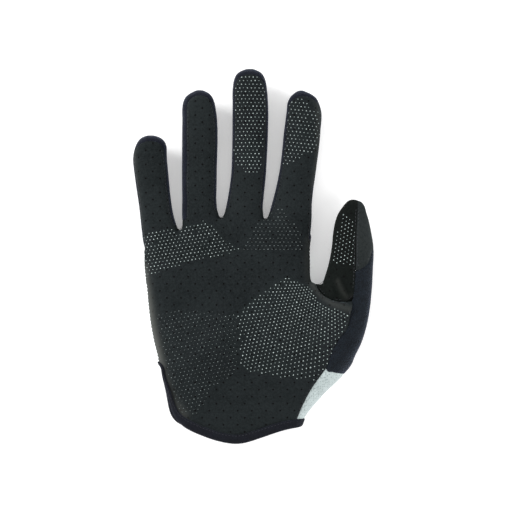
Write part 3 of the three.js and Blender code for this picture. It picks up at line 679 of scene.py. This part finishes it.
def beside_holes(nt, place):
    """0 in the small holes and 1 beside them, every other row half a step on."""
    x, y, _ = node(nt, "ShaderNodeSeparateXYZ", {0: place}).outputs
    row = maths(nt, "ADD", maths(nt, "DIVIDE", y, HOLES_DOWN * MM), HOLES_START_Y)
    odd = maths(nt, "MULTIPLY", maths(nt, "FLOORED_MODULO", maths(nt, "FLOOR", row), 2.0), 0.5)
    start = maths(nt, "ADD", odd, HOLES_START_X)
    column = maths(nt, "ADD", maths(nt, "DIVIDE", x, HOLES_ACROSS * MM), start)
    squares = []
    for value, pitch in ((column, HOLES_ACROSS), (row, HOLES_DOWN)):
        off = maths(nt, "SUBTRACT", maths(nt, "FRACT", value), 0.5)
        squares.append(maths(nt, "POWER", maths(nt, "MULTIPLY", off, pitch), 2.0))
    return rise(nt, maths(nt, "SQRT", maths(nt, "ADD", *squares)), HOLE_CLEAR, HOLE_OUTER)


def suede(dark, light, holes, sheen=0.09):
    def build(nt, bsdf):
        place = place_of(nt)
        fine = noise(nt, place, 1500.0, 3.0, 0.6)
        mottle = noise(nt, place, 620.0, 4.0, 0.65)
        broad = noise(nt, place, 28.0, 2.0)
        mix = weighted(nt, (mottle, 0.40), (fine, 0.50), (broad, 0.25))
        colour = ramp(nt, mix, [(0.44, dark), (0.66, light)])
        height = maths(nt, "ADD", maths(nt, "MULTIPLY", fine, 0.5), mottle)
        if holes:
            hole = beside_holes(nt, place)
            # Painted shade: the holes are drawn as near-black colour for the shaded inside seen through
            # them
            colour = blend(nt, hole, HOLE_PAINTED_SHADE, colour)
            height = maths(nt, "ADD", height, maths(nt, "MULTIPLY", hole, 3.0))
        # Painted highlight: the attribute mixes a lighter colour into the suede where it would catch the
        # light
        painted_highlight = node(nt, "ShaderNodeAttribute", attribute_name="painted_highlight").outputs["Fac"]
        dress(nt, bsdf, blend(nt, painted_highlight, colour, PAINTED_HIGHLIGHT_COLOUR), {
            "Roughness": 0.88, "Specular IOR Level": 0.10, "Sheen Weight": sheen, "Sheen Roughness": 0.28,
            "Sheen Tint": (0.62, 0.80, 0.84, 1)})
        bumped(nt, bsdf, height, 0.00018, 0.8)
    return build


def terry(dark, light, loops, sheen):
    def build(nt, bsdf):
        place = place_of(nt)
        loop = cells(nt, place, loops, 0.85)
        mix = weighted(nt, (loop, 0.7), (noise(nt, place, 260.0, 3.0), 0.6))
        dress(nt, bsdf, ramp(nt, mix, [(0.30, light), (0.85, dark)]), {
            "Roughness": 0.92, "Specular IOR Level": 0.2, "Sheen Weight": sheen, "Sheen Roughness": 0.28,
            "Sheen Tint": (0.55, 0.66, 0.95, 1)})
        bumped(nt, bsdf, maths(nt, "MULTIPLY", loop, -1.0), 0.0005, 0.9)
    return build


def open_mesh(nt, bsdf):
    place = place_of(nt)
    pore = rise(nt, cells(nt, place, 950.0, 0.35), 0.18, 0.42)
    mix = weighted(nt, (pore, 0.8), (noise(nt, place, 420.0, 3.0), 0.35))
    shades = [(0.10, (0.15, 0.19, 0.188)), (0.75, (0.335, 0.395, 0.393)), (1.0, (0.41, 0.47, 0.468))]
    dress(nt, bsdf, ramp(nt, mix, shades), {"Roughness": 0.8, "Sheen Weight": 0.15})
    bumped(nt, bsdf, pore, 0.0003, 0.7)


def speckled(stops, scale, values):
    """A plain material whose shade changes softly from place to place."""
    def build(nt, bsdf):
        dress(nt, bsdf, ramp(nt, noise(nt, place_of(nt), scale, 2.0), stops), values)
    return build


def silicone(dark, light):
    return speckled([(0.36, dark), (0.66, light)], 420.0, {"Roughness": 0.35, "Specular IOR Level": 0.4})


SUEDE = shader("suede", suede((0.0034, 0.0050, 0.0055), (0.0118, 0.0152, 0.0162), True))
SUEDE_PATCH = shader("suede_patch", suede((0.0055, 0.0078, 0.0080), (0.0180, 0.0215, 0.0220), False))
# Painted shade: the thumb's front is the palm's suede made darker, as if lying in shadow
SUEDE_THUMB_PAINTED_SHADE = shader("suede_thumb_painted_shade", suede((0.0008, 0.0014, 0.0012), (0.0040, 0.0058, 0.0050), True, 0.035))
NAVY = shader("navy_terry", terry((0.0014, 0.0028, 0.0050), (0.0075, 0.0125, 0.0190), 1500.0, 0.24))
NAVY_KNIT = shader("navy_knit", terry((0.0022, 0.0030, 0.0070), (0.0080, 0.0105, 0.0200), 1900.0, 0.16))
PALE = shader("pale_mesh", open_mesh)
TAPE = shader("edge_tape", terry((0.0016, 0.0022, 0.0045), (0.0060, 0.0075, 0.0140), 2400.0, 0.06))
DOT = shader("silicone", silicone((0.11, 0.14, 0.135), (0.48, 0.56, 0.54)))
DOT_FAINT = shader("silicone_faint", silicone((0.020, 0.026, 0.026), (0.26, 0.31, 0.30)))
THREAD = shader("thread", speckled(
    [(0.3, (0.003, 0.004, 0.006)), (0.7, (0.011, 0.013, 0.021))], 2500.0,
    {"Roughness": 0.7, "Sheen Weight": 0.03}))


def add_mesh(name, v, f, material, replaces=None, painted_highlight=None):
    """A piece from points in the hand frame, in millimetres."""
    me = bpy.data.meshes.new(name)
    me.from_pydata(((v - SHIFT) * MM).tolist(), [], f.tolist())
    if painted_highlight is not None:
        # The painted highlight's strength, kept as a point attribute
        me.attributes.new("painted_highlight", "FLOAT", "POINT").data.foreach_set("value", painted_highlight)
    me.validate()
    me.materials.append(material)
    me.polygons.foreach_set("use_smooth", [True] * len(me.polygons))
    o = bpy.data.objects.new(name, me)
    bpy.context.scene.collection.objects.link(o)
    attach(o, "root")
    if replaces:
        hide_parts(replaces)


def thick(v, f, n, depth):
    """Closed shell from a skin and the same skin moved inwards."""
    rim, m = rim_of(f), len(v)
    walls = np.concatenate([np.stack([rim[:, 1], rim[:, 0], rim[:, 0] + m], 1),
                            np.stack([rim[:, 1], rim[:, 0] + m, rim[:, 1] + m], 1)])
    return np.concatenate([v, v - n * depth]), np.concatenate([f, f[:, ::-1] + m, walls])


PIECES = {
    "palm_panel": (SUEDE, "suede"), "thumb_front": (SUEDE_THUMB_PAINTED_SHADE, "suede"),
    "thumb_tip_patch": (SUEDE_PATCH, "suede"), "thumb_back": (NAVY, "navy_knit"),
    "back_panel": (PALE, "pale_mesh"),
    **{"finger_back_" + name: (NAVY_KNIT, "navy_knit") for name in FINGERS},
}

# Soft relief of the cloth, in photograph pixels: line, width, depth in millimetres, less than 0 for a ridge
FOLDS = [
    ([(343, 283), (347, 292), (351, 300)], 1.9, 1.3),
    ([(338, 280), (342, 290), (346, 298)], 1.8, -0.9),
    ([(330, 274), (335, 285), (338, 295)], 2.2, 1.2),
    ([(322, 291), (330, 297), (341, 300), (352, 300)], 1.6, 0.5),
    ([(309, 287), (315, 292), (320, 300)], 2.0, 1.1),
    ([(316, 286), (325, 295), (338, 303), (350, 307)], 2.6, -0.8),
    ([(300, 292), (306, 300), (309, 312)], 3.0, 0.6),
    ([(250, 401), (272, 403), (295, 402)], 3.4, 0.9),
    ([(186, 300), (215, 306), (246, 300)], 6.0, 0.8),
    ([(222, 330), (236, 352), (244, 380)], 6.0, 0.9),
    ([(160, 372), (172, 392), (184, 412)], 4.0, 0.9),
    ([(150, 262), (190, 256), (236, 248), (290, 252)], 6.0, 0.8),
    ([(137, 186), (150, 189), (166, 185)], 3.0, 0.45),
    ([(184, 158), (200, 161), (215, 157)], 3.0, 0.40),
    ([(232, 142), (248, 145), (265, 141)], 3.0, 0.40),
    ([(281, 158), (298, 162), (315, 158)], 3.0, 0.40),
    ([(336, 236), (345, 239), (354, 237)], 2.6, 0.45),
]
# Slow waves of the cloth: turns per millimetre across and up, in radians, phase, depth in millimetres
WAVES = [(0.31, 0.17, 0.4, 0.16), (-0.12, 0.34, 2.1, 0.14), (0.22, -0.29, 4.0, 0.12),
         (0.07, 0.21, 1.2, 0.20), (0.52, 0.11, 3.3, 0.07)]


def near_line(p, line, width):
    """1 on a line of photograph pixels, falling off over a width in millimetres."""
    return bell(line_distance(p, rounded(from_photo(line), steps=4)), width)


def relief(p, n):
    """How far the cloth sinks along its normal."""
    sink = np.zeros(len(p))
    for line, width, depth in FOLDS:
        sink += depth * near_line(p, line, width)
    for kx, ky, phase, size in WAVES:
        sink += size * np.sin(kx * p[:, 0] + ky * p[:, 1] + phase)
    return sink * np.clip(n[:, 2], 0, 1)


# Painted highlight: a lighter colour painted where the suede's curved sides, its rolled lip and the thumb's
# folds catch the light: line in photograph pixels, width in millimetres, strength
PAINTED_HIGHLIGHT = {
    "palm_panel": [
        ([(142, 268), (147, 300), (152, 330), (157, 352), (160, 366)], 3.4, 0.50),
        ([(160, 362), (168, 388), (176, 404), (184, 414)], 3.0, 0.22),
        ([(313, 285), (322, 295), (334, 304), (350, 309)], 1.9, 0.16),
        ([(309, 240), (308, 262), (309, 280)], 2.2, 0.10),
        ([(318, 100), (318, 150), (314, 185)], 1.6, 0.08),
        ([(134, 150), (137, 190), (141, 225)], 1.6, 0.08),
    ],
    "thumb_front": [
        ([(338, 281), (342, 290), (347, 298)], 1.5, 0.09),
        ([(344, 300), (352, 296)], 1.6, 0.06),
    ],
}


def painted_highlight_of(name, p):
    """Strength of the painted highlight over a piece's points."""
    out = np.zeros(len(p))
    for line, width, strength in PAINTED_HIGHLIGHT.get(name, []):
        out = np.maximum(out, strength * near_line(p, line, width))
    return out


def chain(segments):
    """Ordered lines of point numbers from loose segments."""
    links = {}
    for a, b in segments.tolist():
        links.setdefault(a, []).append(b)
        links.setdefault(b, []).append(a)
    lines, used = [], set()
    ends = [k for k, v in links.items() if len(v) == 1] + list(links)
    for first in ends:
        if first in used:
            continue
        line, here = [first], first
        used.add(first)
        while True:
            further = [k for k in links[here] if k not in used]
            if not further:
                break
            here = further[0]
            used.add(here)
            line.append(here)
        closed = line[0] in links[line[-1]] and len(line) > 2
        if len(line) > 8:
            lines.append((line, closed))
    return lines


def level_lines(v, f, n, g, level):
    """Lines on a skin along which g is at a level: points, normals, closed."""
    h = g - level
    h = np.where(np.abs(h) < 1e-4, 1e-4, h)
    inside = h[f] > 0
    cut = f[(inside.sum(1) > 0) & (inside.sum(1) < 3)]
    e = np.stack([cut[:, [0, 1]], cut[:, [1, 2]], cut[:, [2, 0]]], 1)
    cross = (h[e[..., 0]] > 0) != (h[e[..., 1]] > 0)
    pairs, inv = np.unique(np.sort(e[cross], -1), axis=0, return_inverse=True)
    points, normals = at_zero(h, pairs, v, n)
    return [(points[line], normals[line], closed) for line, closed in chain(inv.reshape(-1, 2))]


def even(points, normals, closed, step, rounds=3):
    """The line with even steps, its bends smoothed."""
    if closed:
        points, normals = np.concatenate([points, points[:1]]), np.concatenate([normals, normals[:1]])
    along = np.concatenate([[0], np.cumsum(np.linalg.norm(np.diff(points, axis=0), axis=1))])
    count = max(int(along[-1] / step), 2)
    t = np.linspace(0, along[-1], count, endpoint=not closed)
    p = np.stack([np.interp(t, along, points[:, k]) for k in range(3)], 1)
    m = np.stack([np.interp(t, along, normals[:, k]) for k in range(3)], 1)
    for _ in range(rounds):
        for q in (p, m):
            side = (np.roll(q, 1, 0) + np.roll(q, -1, 0)) / 2
            if closed:
                q += 0.5 * (side - q)
            else:
                q[1:-1] += 0.5 * (side - q)[1:-1]
    ahead, behind = np.roll(p, -1, 0), np.roll(p, 1, 0)
    if not closed:
        ahead[-1], behind[0] = p[-1], p[0]
    return p, unit(m), unit(ahead - behind)


def many(points, axes, shape_v, shape_f):
    """Copies of a small shape, each turned to its own axes."""
    v = points[:, None] + np.einsum("sk,nkj->nsj", shape_v, axes)
    f = shape_f[None] + (np.arange(len(points)) * len(shape_v))[:, None, None]
    return v.reshape(-1, 3), f.reshape(-1, shape_f.shape[1])


def circle(radius, sides):
    turns = [2 * math.pi * k / sides for k in range(sides)]
    return [(radius * math.cos(a), radius * math.sin(a)) for a in turns]


def spindle(length, radius, sides=6):
    """A stitch of thread, along the first axis."""
    v, f = [[-length / 2, 0, 0]], []
    stations = [(-0.38, 0.75), (0.0, 1.0), (0.38, 0.75)]
    for place, wide in stations:
        v += [[place * length, y, z] for y, z in circle(radius * wide, sides)]
    v.append([length / 2, 0, 0])
    for k in range(sides):
        j = (k + 1) % sides
        f += [[0, 1 + j, 1 + k], [len(v) - 1, len(v) - 1 - sides + k, len(v) - 1 - sides + j]]
        for r in range(len(stations) - 1):
            a, b = 1 + r * sides + k, 1 + r * sides + j
            f += [[a, b, b + sides], [a, b + sides, a + sides]]
    return np.array(v, float), np.array(f)


def dome(radius, height=0.26, foot=0.12, sides=7):
    """A drop of silicone, its foot a little below the surface."""
    v, f = [], []
    for wide, up in ((1.0, -foot), (0.86, 0.55 * height), (0.45, 0.92 * height)):
        v += [[x, y, up] for x, y in circle(radius * wide, sides)]
    v += [[0, 0, height], [0, 0, -foot]]
    for k in range(sides):
        j = (k + 1) % sides
        for r in range(2):
            a, b = r * sides + k, r * sides + j
            f += [[a, b, b + sides], [a, b + sides, a + sides]]
        f += [[2 * sides + k, 2 * sides + j, 3 * sides], [j, k, 3 * sides + 1]]
    return np.array(v, float), np.array(f)


def add_stitches(name, lines, pitch=2.2, length=1.55, radius=0.17, lift=0.06):
    """Rows of stitches along lines on a skin."""
    places, axes = [], []
    for points, normals, closed in lines:
        p, m, t = even(points, normals, closed, pitch)
        places.append(p + m * lift)
        axes.append(np.stack([t, np.cross(m, t), m], 1))
    v, f = many(np.concatenate(places), np.concatenate(axes), *spindle(length, radius))
    above_floor(v)
    add_mesh(name, v, f, THREAD)


# Relief at the seams with its widths, in millimetres: valley, roll at the thumb's root, tuck beside it
VALLEY, VALLEY_WIDE = 0.42, 0.9
ROLL, ROLL_LIP, ROLL_WIDE = 1.7, 1.1, 8.5
ROLL_START, ROLL_FADE = from_photo([[308, 0]])[0][0], 6.0
TUCK, TUCK_WIDE = 0.9, 2.2
# How much the skins' gaps and walls are less than the CAD part's
GAP_LESS, CLOTH_LESS = 0.09, 0.2

# Cut the skin at the cuff, then into its panels
cut_v, cut_f, cut_n = clip(skin_v, skin_f, cuff_place(skin_v) - (TAPE_T + TAPE_CLEAR), skin_n)
places = panels(cut_v)
skins, edges = {}, {}
for name, (material, slot) in PIECES.items():
    v, f, n = clip(cut_v, cut_f, places[name] - 0.5 * GAP + GAP_LESS, cut_n)
    used, f = without_scraps(v, f)
    v, n = v[used], n[used]
    edge = panels(v)[name]
    sink = VALLEY * np.clip(1.5 * n[:, 2], 0.25, 1) * bell(np.maximum(edge, 0), VALLEY_WIDE) + relief(v, n)
    if name == "palm_panel":
        # The suede rolls up over the thumb's root and turns down at its edge
        e = np.maximum(-polygon_distance(v, ROLL_AREA), 0)
        near = np.clip((v[:, 0] - ROLL_START) / ROLL_FADE, 0, 1) * np.clip(n[:, 2] * 2, 0, 1)
        sink -= near * ROLL * (1 - bell(e, ROLL_LIP)) * bell(e, ROLL_WIDE)
    if name == "thumb_front":
        e = np.maximum(polygon_distance(v, ROLL_AREA), 0)
        sink += TUCK * bell(e, TUCK_WIDE) * np.clip(1.6 * n[:, 2] - 0.3, 0, 1)
    v = v - n * sink[:, None]
    above_floor(v)
    n = normals_of(v, f)
    skins[name], edges[name] = (v, f, n), edge
    # Painted highlight on the suede pieces, stored on both sides of the shell
    painted_highlight = np.tile(painted_highlight_of(name, v), 2) if slot == "suede" else None
    shell_v, shell_f = thick(v, f, n, CLOTH - CLOTH_LESS)
    above_floor(shell_v)
    add_mesh(name + "_skin", shell_v, shell_f, material, replaces=name, painted_highlight=painted_highlight)

# Section of the tape: share of its reach, then millimetres in from the cloth's edge and over the cloth
OUT, LOW, FOLD = 1.15, -(CLOTH + 1.0), -(TAPE_T + TAPE_CLEAR) - 0.15
PROFILE = [
    (1, 0, 0.22), (1, 0, 0.75), (1, -0.35, OUT), (0.5, 0, OUT + 0.08), (0, 0.2, OUT), (0, -0.75, 0.85),
    (0, FOLD * 0.92, 0.25), (0, FOLD, -0.6), (0, FOLD * 0.92, -1.5), (0, -0.75, LOW + 0.25), (0, 0.2, LOW),
    (1, -0.35, LOW), (1, 0, LOW + 0.4), (1, 0, -1.6), (0, 0.1, -1.5), (0, -0.25, -0.65), (0, 0.1, 0.2),
]
# Step of the rings along the tape, and the stitches' distance from its edge
TAPE_STEP, TAPE_INSET = 1.1, 0.9

# Tape folded over the cloth's edge, drawn along the edge as one closed ring
loop, _ = max(chain(rim_of(cut_f)), key=lambda item: len(item[0]))
p, m, t = even(cut_v[loop], cut_n[loop], True, TAPE_STEP, rounds=8)
inward = np.cross(m, t)
if np.mean(inward[:, 1]) < 0:
    inward = -inward
inward = unit(inward - m * (inward * m).sum(1, keepdims=True))
front, back = (np.interp(p[:, 0] / PALM_W, CUFF[:, k], CUFF[:, 4]) for k in (0, 2))
share = np.where(p[:, 2] > SIDE_H, front, back)
for _ in range(10):
    share = (np.roll(share, 1) + share + np.roll(share, -1)) / 3
reach = TAPE_W * share - (TAPE_T + TAPE_CLEAR)
rings = np.stack([p + inward * (reach * w + b)[:, None] + m * h for w, b, h in PROFILE], 1)
above_floor(rings)
count, sides = len(p), len(PROFILE)
i, k = np.meshgrid(np.arange(count), np.arange(sides), indexing="ij")
a, b = i * sides + k, i * sides + (k + 1) % sides
c, d = (i + 1) % count * sides + k, (i + 1) % count * sides + (k + 1) % sides
tape_v = rings.reshape(-1, 3)
tape_f = np.concatenate([np.stack([a, b, d], -1), np.stack([a, d, c], -1)]).reshape(-1, 3)
corners = tape_v[tape_f]
volume = np.einsum("ij,ij->i", corners[:, 0], np.cross(corners[:, 1], corners[:, 2])).sum()
if volume < 0:
    tape_f = tape_f[:, ::-1]
add_mesh("cuff_tape_fold", tape_v, tape_f, TAPE, replaces="cuff_tape")

# Stitches along the seams: name, panel, distance from its edge in millimetres
STITCHES = [("palm_stitches", "palm_panel", 1.0), ("thumb_front_stitches", "thumb_front", 0.9),
            ("thumb_patch_stitches", "thumb_tip_patch", 0.9)]
for name, panel, inset in STITCHES:
    lines = level_lines(*skins[panel], edges[panel], inset)
    add_stitches(name, [line for line in lines if len(line[0]) > 20])
tape_line = p + inward * (reach - TAPE_INSET)[:, None] + m * OUT
add_stitches("tape_stitches", [(tape_line, m, True)], pitch=2.0, length=1.3, radius=0.14, lift=0.04)

# Silicone dots: outline, pitch along and across a row, all in pixels, turn in degrees, radius, bright
DOTS = {
    "middle": (
        [(238, 79), (243, 75.5), (258, 75.5), (263, 82), (266, 95), (266, 110), (264.5, 140), (262.5, 160),
         (261, 173.5), (247, 173.5), (241, 168), (234.5, 164.5), (234.5, 140), (235, 100), (235.5, 86)],
        3.8, 3.63, 0, 0.35, True),
    "index": (
        [(292, 98), (303, 99), (313, 106), (319, 113), (320, 135), (317, 147), (312, 152.5), (305, 155),
         (298, 160), (290, 165.5), (283, 167.5), (284, 140), (286, 118), (288, 104)],
        3.8, 3.63, -6, 0.33, True),
    "index_root": (
        [(279, 206), (283, 208), (291, 219), (300, 232), (305, 246), (303, 251), (285, 250), (262, 251),
         (240, 252), (246, 241), (252, 232), (258, 224), (266, 217), (274, 212)],
        4.0, 3.6, 0, 0.26, False),
    "fingers_root": (
        [(143.8, 235), (172, 229), (178, 234), (187.5, 226), (204.3, 220.7), (213.5, 224.5), (219.6, 233),
         (231.8, 244.4), (241, 249), (238, 251.3), (225.7, 256), (207.3, 257.5), (198.2, 259.7),
         (189, 263.6), (176.7, 266.6), (163, 271.2), (155.3, 275.8), (149.2, 281.2), (146.1, 277),
         (144, 256)], 3.8, 3.3, 9.5, 0.34, True),
    "thumb_root": (
        [(287, 276.6), (293.8, 280.4), (300.7, 282.5), (309, 284.5), (316, 296.3), (320.6, 303.4),
         (340.5, 311), (348.6, 315.6), (346, 326.3), (338.5, 341.6), (332.3, 357), (325, 367.7),
         (318.6, 378.4), (314.5, 380.7), (300.7, 379), (276, 376), (261, 372), (245.6, 370.7), (241, 363),
         (239.5, 332.5), (238, 315.6), (244, 308), (267, 289.6), (274.7, 283.5)],
        4.0, 3.06, 90, 0.36, True),
    "thumb": (
        [(342.5, 210.8), (352.8, 222.2), (355.3, 233), (354.4, 263.6), (352, 267), (340, 264.5),
         (331.3, 262), (332.9, 251.3), (336, 237.5), (339, 226.8), (340, 217)],
        4.0, 3.3, 82, 0.34, True),
    "heel": (
        [(158, 311), (200, 310), (225.7, 311.8), (237, 315.6), (238, 340), (238, 371), (231.8, 375.3),
         (213.5, 386), (205.8, 402.9), (196.6, 413.6), (180.8, 411.6), (172.1, 386), (163.4, 347.8),
         (158.8, 320)], 4.05, 3.55, 11, 0.25, False),
}
# Places in the thumb root's rows, traced over the photograph: step along, row, pixel across, pixel down
TRACED = [
    (0, 0, 245.2, 308.4), (5, 0, 264.4, 305.3), (9, 0, 279.4, 304.5), (14, 0, 297.8, 303.6),
    (0, 5, 239.5, 327.4), (5, 5, 258.7, 324.1), (11, 5, 281.4, 318.7), (2, 10, 241.9, 344.4),
    (6, 10, 257.8, 342.1), (11, 10, 277.4, 338.4), (15, 10, 292.6, 334.5), (20, 10, 310.9, 328.4),
    (24, 10, 325.5, 323.6), (28, 10, 338.4, 317.5), (30, 10, 344.0, 313.7), (28, 15, 339.1, 337.5),
    (24, 7, 325.4, 313.4), (11, 17, 271.8, 363.6), (17, 17, 296.7, 359.2), (24, 17, 323.5, 351.3),
    (12, 20, 273.4, 373.4), (18, 20, 298.0, 369.0), (24, 20, 323.3, 363.6),
]
# Rows each way, a dot's stray in millimetres, shares of dots missing and big, and a big one's size
DOT_ROWS, DOT_STRAY, DOT_MISSING, DOT_BIG, BIG_SIZE = 60, 0.05, 0.012, 0.006, 1.5


def powers(i, j):
    return np.stack([i * 0 + 1.0, i, j, i * j, i * i, j * j, i * i * j, i * j * j, i**3], -1)


def traced_spots():
    """Plan places of the thumb root's dots, on rows that follow the traced ones."""
    i, j, x, y = np.array(TRACED, float).T
    i, j = i / 10, j / 10
    basis = powers(i, j)
    fit = np.linalg.lstsq(basis.T @ basis + 1e-4 * np.eye(9), basis.T @ np.stack([x, y], 1), rcond=None)[0]
    a, b = np.meshgrid(np.arange(-3, 40), np.arange(-12, 30), indexing="ij")
    return from_photo(powers(a.ravel() / 10, b.ravel() / 10) @ fit)


rng = np.random.default_rng(7)
trees = {name: BVHTree.FromPolygons(skins[name][0].tolist(), skins[name][1].tolist())
         for name in ("palm_panel", "thumb_front")}


def add_dots(name, outline, along, across, turn, radius, bright):
    """Rows of dots inside an outline, set on the panel under it."""
    outline = from_photo(outline)
    tree = trees["thumb_front" if name == "thumb" else "palm_panel"]
    a = math.radians(turn)
    u = np.array([math.cos(a), math.sin(a)]) * along * PIXEL
    w = np.array([-math.sin(a), math.cos(a)]) * across * PIXEL
    steps = np.arange(-DOT_ROWS, DOT_ROWS + 1)
    i, k = np.meshgrid(steps, steps, indexing="ij")
    spots = outline.mean(0) + (i + 0.5 * (k % 2)).reshape(-1, 1) * u + k.reshape(-1, 1) * w
    if name == "thumb_root":
        spots = traced_spots()
    spots = spots[polygon_distance(spots, outline) > 0]
    spots += rng.normal(0, DOT_STRAY, spots.shape)
    places, axes = [], []
    for x, y in spots:
        hit, normal, _, _ = tree.ray_cast(Vector((x, y, 60)), Vector((0, 0, -1)))
        if hit is None or normal.z < 0.35 or rng.random() < DOT_MISSING:
            continue
        size = rng.uniform(0.84, 1.10) * (BIG_SIZE if rng.random() < DOT_BIG else 1.0)
        z = np.array(normal)
        x_axis = np.cross([0, 1, 0], z)
        x_axis /= np.linalg.norm(x_axis)
        places.append(np.array(hit))
        axes.append(np.array([x_axis, np.cross(z, x_axis), z]) * size)
    v, f = many(np.array(places), np.array(axes), *dome(radius))
    add_mesh("dots_" + name, v, f, DOT if bright else DOT_FAINT)


for name, values in DOTS.items():
    add_dots(name, *values)

# Floor, lights and camera, in metres
CAMERA_HIGH, GLOVE_HIGH, SENSOR = 1.6, 0.012, 36
CAMERA_PIXEL = (256.6, 256.2)

floor = bpy.data.meshes.new("floor")
floor.from_pydata([(-3, -3, 0), (3, -3, 0), (3, 3, 0), (-3, 3, 0)], [], [(0, 1, 2, 3)])
floor_o = bpy.data.objects.new("floor", floor)
bpy.context.scene.collection.objects.link(floor_o)
floor.materials.append(shader("floor", speckled(
    [(0.3, (0.90, 0.90, 0.90)), (0.7, (0.92, 0.92, 0.92))], 3.0,
    {"Roughness": 0.9, "Specular IOR Level": 0.0, "Emission Color": (1, 1, 1, 1),
     "Emission Strength": 0.25})))

scene = bpy.context.scene
scene.view_settings.view_transform = "Standard"
world = bpy.data.worlds.new("studio")
scene.world = world
world.use_nodes = True
sky = world.node_tree.nodes["Background"].inputs
sky[0].default_value = (1.0, 1.0, 1.0, 1)
sky[1].default_value = 0.86


def area_light(name, place, size, power):
    data = bpy.data.lights.new(name, "AREA")
    data.shape = "DISK"
    data.size = size
    data.energy = power
    o = bpy.data.objects.new(name, data)
    o.location = place
    o.rotation_euler = (Vector((0, 0, 0.01)) - Vector(place)).to_track_quat("-Z", "Y").to_euler()
    scene.collection.objects.link(o)


area_light("key", (-0.85, 0.65, 0.55), 0.45, 12)
area_light("fill", (0.85, -0.35, 0.75), 0.9, 5)
area_light("side_left", (-1.1, -0.25, 0.28), 0.5, 5)
area_light("side_right", (1.1, 0.1, 0.28), 0.5, 4)

camera_data = bpy.data.cameras.new("camera")
camera_data.sensor_width = SENSOR
camera_data.lens = SENSOR * (CAMERA_HIGH - GLOVE_HIGH) / (PHOTO_SIDE * PIXEL * MM)
camera = bpy.data.objects.new("camera", camera_data)
centre = (from_photo([CAMERA_PIXEL])[0] - SHIFT[:2]) * MM
camera.location = (centre[0], centre[1], CAMERA_HIGH)
scene.collection.objects.link(camera)
scene.camera = camera
camera_data.clip_start, camera_data.clip_end = 0.1, 10
